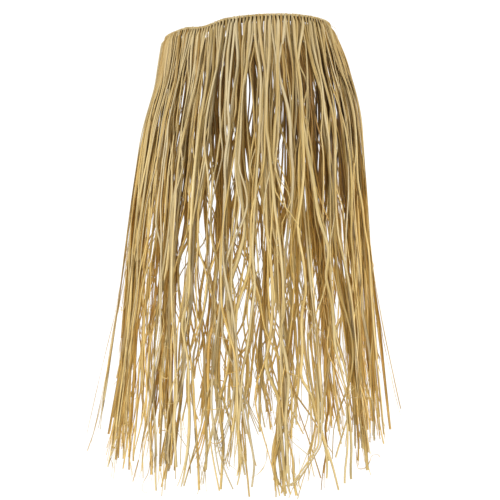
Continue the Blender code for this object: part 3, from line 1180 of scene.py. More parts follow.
@dataclass
class Fringe:
    """The raffia that hangs from the knots: main ribbons on the solids' lines, thinner strands among them."""

    hang: Hang
    plan: SolidPlan
    finish: Material
    knots: int
    seed: int = 4107
    main: Bending = Bending(0.0125, (0.06, 0.17), 0.0065, 0.0012)
    extra: StrandMake = StrandMake(
        60, (0.0028, 0.0046), (0.60, 0.80), (0.2, 4.6),
        Bending(0.015, (0.05, 0.16), 0.0070, 0.0015, 0.03), -0.04,
    )
    thin: StrandMake = StrandMake(
        300, (0.0014, 0.0037), (0.34, 0.75), (-0.8, 4.4),
        Bending(0.018, (0.04, 0.14), 0.0080, 0.0018, 0.05), -0.08,
    )
    hair: StrandMake = StrandMake(
        70, (0.0005, 0.0010), (0.30, 0.74), (0.5, 5.4),
        Bending(0.020, (0.03, 0.09), 0.0080, 0.0020, 0.07), -0.08,
    )
    inner: StrandMake = StrandMake(
        240, (0.0028, 0.0050), (0.34, 0.74), (-1.5, 0.4),
        Bending(0.022, (0.05, 0.16), 0.0070, 0.0016, 0.03), 0.0, 0.36,
    )
    # Two legs a knot; of each five legs in turn, the third holds an extra ribbon and the others a main one
    leg_offset: float = 0.0009
    leg_group: int = 5
    free_leg: int = 2
    # Tones: palest at the pale angle and across from it, and in the outer layers
    pale_angle: float = math.radians(-50.0)
    middle_tone: float = 0.25
    middle_layer: float = 2.0
    side_tone: float = 0.19
    layer_tone: float = 0.055
    tone_spread: float = 0.13
    tone_ends: Span = (0.03, 0.95)
    # The drops over which the painted shade near the knots fades out
    shadow_drops: Span = (0.14, 0.58)
    # Where fibres are many and where few
    fibre_places: Span = (0.1, 0.9)
    inner_middle: float = math.radians(125.0)
    inner_least: float = 0.10
    sparse_middle: float = math.radians(-38.0)
    sparse_share: float = 0.65
    # Where the raffia is cut shorter than its solids
    trim_middle: float = math.radians(16.0)
    trim_reach: float = math.radians(38.0)
    trim: float = 0.030
    # Widths: narrow at the knot, swelling unevenly, narrower again at the tip
    top_width: float = 0.0021
    width_drops: Span = (0.0045, 0.0125)
    width_share: Span = (0.58, 1.32)
    top_swell: Span = (1.05, 1.40)
    swell: Span = (0.78, 1.12)
    swell_gap: float = 0.075
    fewest_places: int = 2
    tip_share: float = 0.84
    tip_length: float = 0.06
    thin_tip_share: float = 0.5
    thin_tip_length: float = 0.10
    # Stations near the root, and where the even ones begin
    ribbon_root: tuple[float, ...] = (0.0, 0.003, 0.007, 0.012, 0.018, 0.026, 0.036)
    ribbon_even: float = 0.048
    thin_root: tuple[float, ...] = (0.001, 0.008, 0.020)
    thin_even: float = 0.036
    # Twists, in degrees, and spins, in radians a metre
    twist_reaches: tuple[float, ...] = (14.0, 20.0, 30.0, 45.0, 70.0)
    twist_gap: float = 0.11
    spins: tuple[float, ...] = (0.0, 0.0, 0.0, 0.0, 3.0, -3.0)
    spin_drops: Span = (0.1, 0.4)
    # Folds: the ranges of their ridge, height and thickness, and how unevenly they are crumpled
    folds: tuple[Span, ...] = ((-0.24, 0.24), (0.14, 0.34), (0.13, 0.20))
    crumples: Span = (0.55, 1.5)
    crumple_count: int = 10
    rolled: float = 0.7
    rolled_drops: Span = (0.02, 0.12)
    # Split ends: a ribbon stops short of its tip by a share of the split, below where its fibres begin
    split_share: float = 0.42
    split_lengths: Span = (0.02, 0.12)
    split_counts: tuple[int, ...] = (2, 2, 3)
    split_bare: float = 0.8
    split_overlap: float = 0.006
    split_tips: Span = (-0.35, 0.10)
    split_stations: int = 6
    split_step: float = 0.02
    split_reach: float = 0.0022
    split_slope: float = 0.036
    split_power: float = 1.4
    split_inset: float = 0.7
    split_sides: Span = (-0.5, 0.5)
    split_outs: Span = (-0.5, 0.7)
    split_width: float = 1.35
    split_taper: float = 0.30
    # Splayed tips
    splay_share: float = 0.7
    splay_lengths: Span = (0.08, 0.28)
    splay_side: float = 0.015
    splay_reach: float = 0.025
    splay_outs: Span = (-0.25, 0.55)
    # Where strands start on the map, in metres
    map_reach: float = 40.0
    map_step: float = 2.0
    draw: random.Random = field(init=False)
    bundles: list[Bundle] = field(init=False)

    def __post_init__(self) -> None:
        """Starts the source of numbers and a bundle for each section, counted from the front."""
        self.draw = random.Random(self.seed)
        self.bundles = [Bundle() for _ in SECTION_NAMES]

    @property
    def knot_pitch(self) -> float:
        """The length of cord that one knot takes."""
        return self.hang.ring.girth / self.knots

    def leg_run(self, leg: int) -> float:
        """Finds where a knot's leg comes out, by the leg's number round the ring."""
        knot, second = divmod(leg, 2)
        return (knot + 0.5) * self.knot_pitch + (self.leg_offset if second else -self.leg_offset)

    def nearest_leg(self, run: float) -> float:
        """Finds the leg that a thinner strand comes down beside, within a knot of its root."""
        middle = (math.floor(run / self.knot_pitch) + 0.5) * self.knot_pitch
        return middle + math.copysign(self.leg_offset, run - middle)

    def bundle_at(self, run: float) -> Bundle:
        """Finds the bundle of the section that a root belongs to."""
        wide = self.hang.ring.girth / len(self.bundles)
        return self.bundles[int((run + wide / 2.0) // wide) % len(self.bundles)]

    def facing_share(self, run: float, middle: float) -> float:
        """Measures how near a root lies to a side of the ring, 1 at its middle and 0 across from it."""
        return 0.5 + 0.5 * math.cos(float(angle_between(self.hang.ring.angle_at(run), middle)))

    def tone_at(self, run: float, layer: float) -> float:
        """Draws a strand's tone: paler towards the outside, browner at two opposite sides.

        Args:
            run: The strand's root.
            layer: Its layer.

        Returns:
            The tone, from 0 for pale to 1 for brown.
        """
        side = math.sin(float(self.hang.ring.angle_at(run)) - self.pale_angle) ** 2
        level = self.middle_tone + self.side_tone * side - self.layer_tone * (layer - self.middle_layer)
        least, most = self.tone_ends
        return min(max(level + self.draw.gauss(0.0, self.tone_spread), least), most)

    def places(self, length: float, gap: float) -> Array:
        """Lists even places along a strand, its two ends among them."""
        return np.linspace(0.0, length, max(int(length / gap), self.fewest_places))

    def widths(self, drops: Array, width: float, length: float) -> Array:
        """Draws how a strand's width goes along its length.

        Args:
            drops: Heights below the cord.
            width: The strand's full width.
            length: Its length.

        Returns:
            The width at each height.
        """
        top = min(self.top_width, width)
        grown = top + (width - top) * smooth_step(drops, *self.width_drops)
        places = self.places(length, self.swell_gap)
        swells = [self.draw.uniform(*self.top_swell)] + [self.draw.uniform(*self.swell) for _ in places[1:]]
        swell = np.where(drops < self.width_drops[1], 1.0, np.interp(drops, places, swells))
        return grown * swell * narrowed(drops, length, self.tip_length, self.tip_share)

    def twists(self, drops: Array, length: float) -> Array:
        """Draws how a strand turns about its line.

        Args:
            drops: Heights below the cord.
            length: The strand's length.

        Returns:
            The turn at each height.
        """
        reach = math.radians(self.draw.choice(self.twist_reaches))
        places = self.places(length, self.twist_gap)
        turns = np.array([0.0] + [self.draw.uniform(-reach, reach) for _ in places[1:]])
        spin = self.draw.choice(self.spins) * drops
        return np.interp(drops, places, turns) + spin * smooth_step(drops, *self.spin_drops)

    def crumpled(self, drops: Array) -> Array:
        """Draws how tightly a ribbon is folded: rolled up at its top, and crumpled unevenly further down.

        Args:
            drops: Heights below the cord.

        Returns:
            The fold at each height, 1 where it is as its section is drawn.
        """
        places = np.linspace(0.0, float(drops[-1]), self.crumple_count)
        uneven = np.interp(drops, places, [self.draw.uniform(*self.crumples) for _ in places])
        return uneven + self.rolled * (1.0 - smooth_step(drops, *self.rolled_drops))

    def course(
        self, root_run: float, leg_run: float, layer: float, length: float, bending: Bending
    ) -> Course:
        """Draws the line of one strand.

        Args:
            root_run: Where it hangs.
            leg_run: Where it comes out of its knot.
            layer: Its layer.
            length: Its length before it is cut.
            bending: How its kind bends.

        Returns:
            The line.
        """
        draw = self.draw
        cut = hump(angle_between(self.hang.ring.angle_at(root_run), self.trim_middle), self.trim_reach)
        return Course(
            hang=self.hang,
            root_run=root_run,
            leg_run=leg_run,
            layer=layer,
            length=length,
            tip=length - self.trim * float(cut),
            sideways=Bends.drawn(draw, length, bending.gaps, bending.sideways),
            radial=Bends.drawn(draw, length, bending.gaps, bending.in_and_out),
            lean=draw.uniform(-bending.most_lean, bending.most_lean),
            splay_length=draw.uniform(*self.splay_lengths),
            splay_side=draw.gauss(0.0, self.splay_side) if draw.random() < self.splay_share else 0.0,
            splay_out=draw.uniform(*self.splay_outs) * self.splay_reach,
        )

    def strand(self, make: StrandMake, run: float, leg: float) -> tuple[Course, float, float]:
        """Draws a strand of one kind.

        Args:
            make: The ranges that its kind is drawn from.
            run: Its root.
            leg: Where it comes out of its knot.

        Returns:
            Its line, its tone and its full width.
        """
        layer, length = self.draw.uniform(*make.layers), self.draw.uniform(*make.lengths)
        course = self.course(run, leg, layer, length - self.plan.hem_rise(run), make.bending)
        return course, self.tone_at(run, layer) + make.tone, self.draw.uniform(*make.widths)

    def hang_ribbon(self, course: Course, tone: float, width: float, step: float) -> None:
        """Adds a folded ribbon, with its end whole or split.

        Args:
            course: Its line.
            tone: Its tone.
            width: Its full width.
            step: The distance between its stations.
        """
        splits = self.draw.random() < self.split_share
        split = self.draw.uniform(*self.split_lengths) if splits else 0.0
        whole = course.tip - self.split_bare * split
        drops = np.concatenate((self.ribbon_root, np.linspace(self.ribbon_even, whole, int(whole / step))))
        line, outward = course.at(drops)
        fold = Fold(*(self.draw.uniform(*ends) for ends in self.folds))
        wide = self.widths(drops, width, course.length)
        turns = self.twists(drops, course.length)
        offset, bundle = self.draw.uniform(0.0, self.map_reach), self.bundle_at(course.root_run)
        bundle.ribbons.add(line, outward, wide, turns, fold, self.crumpled(drops), tone, offset)
        if splits:
            self.split_end(bundle.fibres, course, split, float(wide[-1]), tone)

    def split_end(self, fibres: FibreLines, course: Course, split: float, width: float, tone: float) -> None:
        """Adds the narrow fibres that a ribbon's end splits into.

        Args:
            fibres: Where they go.
            course: The ribbon's line.
            split: The length of the split.
            width: The ribbon's width above it.
            tone: The ribbon's tone.
        """
        draw = self.draw
        count = draw.choice(self.split_counts)
        start = course.tip - split - self.split_overlap
        reach = self.split_reach + self.split_slope * split
        for index in range(count):
            place = (index + 0.5) / count - 0.5
            end = course.tip + draw.uniform(*self.split_tips) * split
            drops = np.linspace(start, end, self.split_stations + int(split / self.split_step))
            share = (drops - start) / (end - start)
            opened = share**self.split_power
            spread = (place * 2.0 + draw.uniform(*self.split_sides)) * reach
            across = place * width * self.split_inset + spread * opened
            line, outward = course.at(drops, across, draw.uniform(*self.split_outs) * reach * opened)
            wide = width / count * (self.split_width - self.split_taper * share)
            turns = share * draw.uniform(-1.0, 1.0)
            fibres.add(line, outward, wide, tone, draw.uniform(0.0, self.map_reach), turns)

    def hang_fibre(self, make: StrandMake, run: float) -> None:
        """Adds a narrow fibre of one kind.

        Args:
            make: The ranges that its kind is drawn from.
            run: Its root.
        """
        course, tone, width = self.strand(make, run, self.nearest_leg(run))
        length = course.length
        even = np.linspace(self.thin_even, course.tip, int(length / make.bending.step))
        drops = np.concatenate((self.thin_root, even))
        line, outward = course.at(drops)
        wide = np.minimum(self.widths(drops, width, length), width)
        wide = wide * narrowed(drops, length, self.thin_tip_length, self.thin_tip_share)
        turns = self.twists(drops, length)
        # Painted shade: darker near the knots, fading out further down
        tones = tone + make.shadow * (1.0 - smooth_step(drops, *self.shadow_drops))
        offset = self.draw.uniform(0.0, self.map_reach)
        self.bundle_at(run).fibres.add(line, outward, wide, tones, offset, turns)

    def add_main(self) -> None:
        """Adds the main ribbons, one on each strand of the solids."""
        drops = (0.0, *self.plan.stations, self.plan.drop)
        taken = self.leg_group - 1
        for index, solid in enumerate(self.plan.strands()):
            leg = self.leg_run(index + (index + taken - self.free_leg) // taken)
            course = self.course(solid.root_run, leg, solid.layer, solid.length, self.main)
            course.stations = (drops, (0.0, *solid.wanders))
            course.lift, course.swing = solid.lift, solid.swing
            tone = self.tone_at(solid.root_run, solid.layer)
            width = solid.width * self.draw.uniform(*self.width_share)
            self.hang_ribbon(course, tone, width, self.main.step)

    def add_extra(self) -> None:
        """Adds a narrower ribbon on each leg that no main ribbon takes."""
        for index in range(self.extra.count):
            run = self.leg_run(self.leg_group * index + self.free_leg)
            self.hang_ribbon(*self.strand(self.extra, run, run), self.extra.bending.step)

    def add_thin(self, make: StrandMake) -> None:
        """Adds narrow fibres all round, fewer where the fringe is sparse.

        Args:
            make: The ranges that their kind is drawn from.
        """
        for index in range(make.count):
            run = (index + self.draw.uniform(*self.fibre_places)) * self.hang.ring.girth / make.count
            if self.draw.random() >= self.sparse_share * self.facing_share(run, self.sparse_middle) ** 2:
                self.hang_fibre(make, run)

    def add_inner(self) -> None:
        """Adds the inner fibres, browner and shorter, with painted shade near the knots, more of them at the
        back of the wearer's left.
        """
        placed = 0
        while placed < self.inner.count:
            run = self.draw.uniform(0.0, self.hang.ring.girth)
            share = self.inner_least + (1.0 - self.inner_least) * self.facing_share(run, self.inner_middle)
            if self.draw.random() <= share:
                self.hang_fibre(self.inner, run)
                placed += 1

    def build(self) -> list[Piece]:
        """Builds the fringe, a piece of ribbons and one of fibres for each section of the solids.

        Returns:
            The pieces.
        """
        self.add_main()
        self.add_extra()
        self.add_thin(self.thin)
        self.add_thin(self.hair)
        self.add_inner()
        for index, fibre in enumerate([*LOOSE_FIBRES, *Tangles(self.hang.locks).fibres()]):
            run = self.hang.ring.run_at(math.radians(fibre.angle))
            fibre.add(self.bundle_at(run).fibres, self.hang, self.map_step * index)
        thickener, pieces = Thickener(self.finish), []
        for name, node, bundle in zip(SECTION_NAMES, FRINGE_NODES, self.bundles):
            ribbons = bundle.ribbons.make(f"raffia_{name}", self.finish)
            fibres = thickener.build(bundle.fibres, f"fibres_{name}")
            pieces += [stand_for(piece, Slot.RAFFIA, node) for piece in (ribbons, fibres)]
        return pieces


@dataclass(frozen=True)
class LooseFibre:
    """A fibre that strays from its neighbours along corners of its own."""

    angle: float
    layer: float
    width: float
    tone: float
    # Drop, reach along the cord, reach outwards
    corners: tuple[Triple, ...]
    rounding: float = 0.006
    step: float = 0.004
    least_stations: int = 8
    readings: int = 5
    top_share: float = 0.25
    top_length: float = 0.2
    tip_share: float = 0.55
    tip_length: float = 0.25
    twist: float = 1.2
    twist_pace: float = 9.0

    def add(self, fibres: FibreLines, hang: Hang, offset: float) -> None:
        """Adds the fibre.

        Args:
            fibres: Where it goes.
            hang: How the fringe hangs.
            offset: Where it starts on the map.
        """
        corners = np.array(self.corners)
        lengths = lengths_along(corners)
        places = np.linspace(0.0, lengths[-1], max(int(lengths[-1] / self.step), self.least_stations))
        drop, side, out = (
            softened(places, lengths, column, self.rounding, self.readings) for column in corners.T
        )
        root = hang.ring.run_at(math.radians(self.angle))
        run = hang.planned_run(root, self.layer, drop) + side
        spread = self.layer * hang.layer_step * smooth_step(drop, *hang.layer_drops)
        line = hang.ring.place(run, hang.out_at(run, drop) + spread + out, drop, root)
        outward = hang.ring.normal(hang.ring.angle_at(run))
        share = places / lengths[-1]
        top = self.top_share + (1.0 - self.top_share) * smooth_step(share, 0.0, self.top_length)
        tip = narrowed(share, 1.0, self.tip_length, self.tip_share)
        turns = self.twist * np.sin(self.twist_pace * share)
        fibres.add(line, outward, self.width * tip * top, self.tone, offset, turns)


LOOSE_FIBRES = (
    # A kinked fibre at the front left
    LooseFibre(-31.0, 4.6, 0.0026, 0.20, (
        (0.24, 0.0, -0.010), (0.60, 0.0, 0.003), (0.655, 0.001, 0.005), (0.70, 0.007, 0.006),
        (0.728, 0.024, 0.006),
    )),
    # Three fibres that end in one tuft
    LooseFibre(-18.0, 4.8, 0.0052, 0.16, (
        (0.24, 0.0, -0.012), (0.64, 0.0, 0.005), (0.712, -0.002, 0.008), (0.767, -0.024, 0.010),
        (0.774, -0.027, 0.011),
    )),
    LooseFibre(-17.0, 5.2, 0.0040, 0.30, (
        (0.24, 0.0, -0.012), (0.64, -0.003, 0.006), (0.712, -0.006, 0.009), (0.767, -0.027, 0.011),
        (0.779, -0.024, 0.014),
    )),
    LooseFibre(-19.0, 5.4, 0.0044, 0.10, (
        (0.26, 0.0, -0.012), (0.64, 0.003, 0.006), (0.712, 0.0, 0.009), (0.767, -0.022, 0.012),
        (0.772, -0.032, 0.013),
    )),
    # A level fibre caught between two locks
    LooseFibre(-6.0, 5.0, 0.0010, 0.05, (
        (0.625, -0.012, 0.004), (0.640, -0.009, 0.008), (0.642, 0.006, 0.009), (0.638, 0.012, 0.004),
    )),
    # A curl under the hem
    LooseFibre(-90.0, 5.0, 0.0011, 0.60, (
        (0.70, 0.004, -0.002), (0.764, 0.003, 0.004), (0.776, -0.003, 0.006), (0.789, -0.004, 0.008),
        (0.795, 0.001, 0.009), (0.794, 0.005, 0.009), (0.790, 0.007, 0.009),
    )),
    # A bent strap at the end of the cord
    LooseFibre(33.0, 4.2, 0.0034, 0.30, (
        (0.003, -0.004, 0.001), (0.004, 0.002, 0.009), (0.010, 0.003, 0.0125), (0.028, 0.002, 0.006),
        (0.055, 0.0, 0.002), (0.30, 0.0, 0.001), (0.66, 0.0, 0.0),
    )),
    # Long single fibres beyond the outline
    LooseFibre(-139.0, 5.0, 0.0012, 0.55, (
        (0.36, 0.0, -0.005), (0.52, 0.0, 0.012), (0.62, -0.002, 0.030), (0.72, -0.004, 0.046),
        (0.745, -0.004, 0.050),
    )),
    LooseFibre(-128.0, 5.0, 0.0016, 0.40, (
        (0.41, 0.0, -0.005), (0.60, 0.0, 0.014), (0.70, 0.002, 0.028), (0.742, 0.002, 0.035),
    )),
    LooseFibre(43.0, 5.0, 0.0012, 0.45, (
        (0.38, 0.0, -0.005), (0.56, 0.0, 0.012), (0.66, 0.004, 0.028), (0.70, 0.006, 0.036),
    )),
)


@dataclass(frozen=True)
class Tangles:
    """Short kinked fibres caught on the locks, more of them towards the hem."""

    locks: tuple[Triple, ...]
    seed: int = 77
    per_lock: int = 7
    spread: float = 5.0
    # The least, the most and the usual drop
    drops: Triple = (0.38, 0.775, 0.755)
    layers: Span = (3.6, 5.0)
    widths: Span = (0.0009, 0.0021)
    tones: Span = (0.12, 0.62)
    corner_counts: tuple[int, int] = (3, 6)
    gaps: Span = (0.004, 0.013)
    first_turn: float = 0.3
    kink: float = math.radians(40.0)
    out: Span = (0.0005, 0.0060)
    root: float = 0.030
    fineness: float = 0.0025

    def fibre(self, middle: float, draw: random.Random) -> LooseFibre:
        """Draws one fibre.

        Args:
            middle: The angle of the lock that it is caught on, in degrees.
            draw: The source of numbers.

        Returns:
            The fibre.
        """
        drop, side, heading = draw.triangular(*self.drops), 0.0, draw.gauss(0.0, self.first_turn)
        corners = [(drop - self.root, 0.0, -self.out[0]), (drop, 0.0, self.out[0])]
        for _ in range(draw.randint(*self.corner_counts)):
            gap = draw.uniform(*self.gaps)
            drop = min(drop + gap * math.cos(heading), self.drops[1])
            side += gap * math.sin(heading)
            corners.append((drop, side, draw.uniform(*self.out)))
            heading += draw.gauss(0.0, self.kink)
        angle = middle + draw.gauss(0.0, self.spread)
        looks = (draw.uniform(*ends) for ends in (self.layers, self.widths, self.tones))
        return LooseFibre(angle, *looks, tuple(corners), self.fineness, self.fineness)

    def fibres(self) -> list[LooseFibre]:
        """Draws every fibre."""
        draw = random.Random(self.seed)
        return [self.fibre(lock[0], draw) for lock in self.locks for _ in range(self.per_lock)]


@dataclass(frozen=True)
class Heading(Grown):
    """The row of knots, each a looped strand hitched over the cord, repeated by a node tree."""

    ring: Ring
    knots: int
    seed: int = 12
    strap_sides: int = 6
    strap_width: float = 0.0028
    strap_thickness: float = 0.0006
    wrap_stations: int = 9
    wrap_radius: float = 0.0021
    first_turn: float = math.radians(-62.0)
    wrap_turn: float = math.radians(300.0)
    leg_offset: float = 0.00142
    bar_width: float = 0.0016
    bar_drop: float = 0.0014
    bar_out: float = 0.0022
    size_spread: float = 0.12
    lean: float = math.radians(9.0)
    least_tone: float = 0.02
    most_tone: float = 0.32
    tree_name: ClassVar[str] = "hitched_knots"
    line_points: ClassVar[int] = 720

    def line(self) -> Piece:
        """Makes the closed line that the knots stand on.

        Returns:
            The line's object.
        """
        runs = self.ring.even_runs(self.line_points)
        mesh = bpy.data.meshes.new("heading_line")
        edges = [(index, (index + 1) % self.line_points) for index in range(self.line_points)]
        mesh.from_pydata(self.ring.place(runs, 0.0, 0.0, runs).tolist(), edges, [])
        return linked("heading_line", mesh)

    def strap(self, nodes: Nodes, line: Socket, thick: Socket, wide: Socket) -> Socket:
        """Sweeps a flat strap along a line, with its two sizes on the profile's X and Y axes."""
        profile = nodes.moved(nodes.circle(nodes["Strap Sides"]), Scale=nodes.joined(thick, wide, 1.0))
        return nodes.swept(line, profile)

    def knot(self, nodes: Nodes) -> Socket:
        """Builds one knot, with X along the cord, Y outwards and Z up: two wraps and the bar that joins them.

        Args:
            nodes: The tree's nodes.

        Returns:
            The knot's shape.
        """
        names = ("Resolution", "Radius", "Start Angle", "Sweep Angle")
        sizes = ("Wrap Stations", "Wrap Radius", "First Turn", "Wrap Turn")
        inputs = {name: nodes[size] for name, size in zip(names, sizes)}
        arc = nodes.made("GeometryNodeCurveArc", "Curve", inputs)
        wrap = self.strap(nodes, arc, nodes["Strap Thickness"], nodes["Strap Width"])
        stood = nodes.moved(wrap, Rotation=(TURN / 4.0, 0.0, TURN / 4.0))
        reach = nodes.maths("ADD", nodes["Leg Offset"], nodes["Strap Thickness"])
        low = nodes.maths("MULTIPLY", nodes["Bar Drop"], -1.0)
        shapes, ends = [], []
        for side in (-1.0, 1.0):
            place = nodes.joined(nodes.maths("MULTIPLY", nodes["Leg Offset"], side), 0.0, 0.0)
            shapes.append(nodes.moved(stood, Translation=place))
            ends.append(nodes.joined(nodes.maths("MULTIPLY", reach, side), nodes["Bar Out"], low))
        bar = nodes.made("GeometryNodeCurvePrimitiveLine", "Curve", {"Start": ends[0], "End": ends[1]})
        shapes.append(self.strap(nodes, bar, nodes["Bar Width"], nodes["Strap Thickness"]))
        joined = nodes.add("GeometryNodeJoinGeometry")
        for shape in shapes:
            nodes.tree.links.new(shape, joined.inputs["Geometry"])
        return joined.outputs["Geometry"]

    def drawn(self, nodes: Nodes, least: Socket, most: Socket, salt: Salt) -> Socket:
        """Adds a random number for each knot, between two limits."""
        inputs = {"Min": least, "Max": most, "Seed": nodes.maths("ADD", nodes["Seed"], salt.value)}
        return nodes.made("FunctionNodeRandomValue", "Value", inputs, data_type="FLOAT")

    def shape(self, nodes: Nodes) -> Socket:
        """Adds the nodes that hitch one knot at each even step of the line.

        Args:
            nodes: The tree's nodes.

        Returns:
            The knots, as instances with their tones.
        """
        inputs = {"Curve": nodes.lines(), "Count": nodes["Knots"]}
        points = nodes.made("GeometryNodeResampleCurve", "Curve", inputs)
        inputs = {"Vector": nodes.made("GeometryNodeInputTangent", "Tangent")}
        axes = {"axis": "X", "pivot_axis": "Z"}
        turned = nodes.made("FunctionNodeAlignRotationToVector", "Rotation", inputs, **axes)
        inputs = {"Points": points, "Instance": self.knot(nodes), "Rotation": turned}
        stood = nodes.made("GeometryNodeInstanceOnPoints", "Instances", inputs)
        back = nodes.maths("MULTIPLY", nodes["Lean"], -1.0)
        lean = nodes.joined(0.0, self.drawn(nodes, back, nodes["Lean"], Salt.LEAN), 0.0)
        inputs = {"Instances": stood, "Rotation": lean}
        leaned = nodes.made("GeometryNodeRotateInstances", "Instances", inputs)
        ends = [nodes.maths(way, 1.0, nodes["Size Spread"]) for way in ("SUBTRACT", "ADD")]
        wide, deep = (self.drawn(nodes, *ends, salt) for salt in (Salt.WIDE, Salt.DEEP))
        inputs = {"Instances": leaned, "Scale": nodes.joined(wide, deep, deep)}
        sized = nodes.made("GeometryNodeScaleInstances", "Instances", inputs)
        tone = self.drawn(nodes, nodes["Least Tone"], nodes["Most Tone"], Salt.TONE)
        return nodes.stored(sized, TONE_NAME, tone, "FLOAT", "INSTANCE")

    def build(self) -> Piece:
        """Builds the knots as one plain mesh."""
        return stand_for(self.grow(self.line(), "heading_knots"), Slot.RAFFIA, *FRINGE_NODES)


@dataclass
class NotchShadeStrip:
    """A near-black strip behind the knots' necks: painted shade that darkens the notches between the knots.
    """

    ring: Ring
    finish: Material
    top: float = 0.0014
    bottom: float = 0.0105
    out: float = -0.0004
    thickness: float = 0.0005
    ripple: float = 0.00025
    ripples: int = 150
    stations: int = 900
    # Near black: painted shade
    tone: float = 0.97

    def build(self) -> Piece:
        """Builds the strip as one closed band.

        Returns:
            The piece.
        """
        runs = self.ring.even_runs(self.stations)
        ripple = self.ripple * np.sin(runs / self.ring.girth * TURN * self.ripples)
        line = self.ring.place(runs, self.out + ripple, (self.top + self.bottom) / 2.0, runs)
        lines, height = FibreLines(), self.bottom - self.top
        lines.add(line, self.ring.normal(self.ring.angle_at(runs)), height, self.tone, 0.0, closed=True)
        piece = Thickener(self.finish, flatness=self.thickness / height).build(lines, "knot_notch_shade")
        return stand_for(piece, Slot.RAFFIA, *FRINGE_NODES)


@dataclass
class WaistTie:
    """The tie: a strip of raffia wound round the cord's two ends, its own ends tucked in."""

    ring: Ring
    finish: Material
    angle: float = math.radians(90.0)
    length: float = 0.0152
    rise: float = 0.0020
    radius: float = 0.0042
    end_radius: float = 0.0027
    swell_power: int = 4
    turns: float = 8.0
    stations: int = 150
    strip_width: float = 0.0021
    strip_flatness: float = 0.34
    strip_sides: int = 6
    strip_sunk: float = 0.0006
    strip_tone: float = 0.22
    core_half_share: float = 0.49
    core_stations: int = 9
    core_sides: int = 12
    core_tone: float = 0.55
    core_map: float = 1.0

    def radius_at(self, share: Array) -> Array:
        """Finds the core's radius, which swells in the middle, at places along it from -1 to 1."""
        radius = self.end_radius + (self.radius - self.end_radius) * (1.0 - share**self.swell_power)
        return radius - self.strip_sunk

    def build(self) -> list[Piece]:
        """Builds the winding and the core inside it.

        Returns:
            The pieces.
        """
        run, outward = self.ring.run_at(self.angle), self.ring.normal(self.angle)
        centre, along = self.ring.place(run, 0.0, -self.rise, run), np.cross(UP, outward)
        winding, core = FibreLines(), FibreLines()
        share = np.linspace(-1.0, 1.0, self.stations)
        middle = centre + along * (share * self.length / 2.0)[:, None]
        turn = math.pi * self.turns * (share + 1.0)
        line, away = wound(middle, outward, turn, self.radius_at(share))
        winding.add(line, away, self.strip_width, self.strip_tone, 0.0)
        share = np.linspace(-1.0, 1.0, self.core_stations)
        line = centre + along * (share * self.length * self.core_half_share)[:, None]
        wide = 2.0 * self.radius_at(share)
        core.add(line, np.broadcast_to(UP, line.shape), wide, self.core_tone, self.core_map)
        strip = Thickener(self.finish, self.strip_sides, self.strip_flatness)
        barrel = Thickener(self.finish, self.core_sides, 1.0)
        made = (strip.build(winding, "wound_waist_tie"), barrel.build(core, "waist_tie_core"))
        return [stand_for(piece, Slot.CORD, "waist_tie") for piece in made]


@dataclass
class WaistCord:
    """The waist cord: two plies of raffia twisted together, closed by the tie."""

    ring: Ring
    finish: Material
    tie: WaistTie
    diameter: float = 0.0032
    ply_share: float = 0.54
    lay: float = 0.0115
    stations_a_turn: int = 9
    sides: int = 7
    hidden_end: float = 0.0048
    # One for each ply
    tones: tuple[float, ...] = (0.24, 0.36)
    map_step: float = 3.0

    def build(self) -> Piece:
        """Builds the cord.

        Returns:
            The piece.
        """
        start = self.ring.run_at(self.tie.angle) + self.hidden_end
        count = int(self.ring.girth / self.lay * self.stations_a_turn)
        runs = np.linspace(start, start + self.ring.girth - 2.0 * self.hidden_end, count)
        centre, outward = self.ring.place(runs, 0.0, 0.0, runs), self.ring.normal(self.ring.angle_at(runs))
        ply = self.diameter * self.ply_share
        lines = FibreLines()
        for index, tone in enumerate(self.tones):
            turn = TURN * ((runs - start) / self.lay + index / len(self.tones))
            line, away = wound(centre, outward, turn, (self.diameter - ply) / 2.0)
            lines.add(line, away, ply, tone, self.map_step * index)
        piece = Thickener(self.finish, self.sides, 1.0).build(lines, "twisted_waist_cord")
        return stand_for(piece, Slot.CORD, "waist_cord")


@dataclass(frozen=True)
class Lamp:
    """A wide, far lamp; angles are in degrees, and the turn is to the camera's right."""

    name: str
    turn: float
    high: float
    strength: float
    spread: float


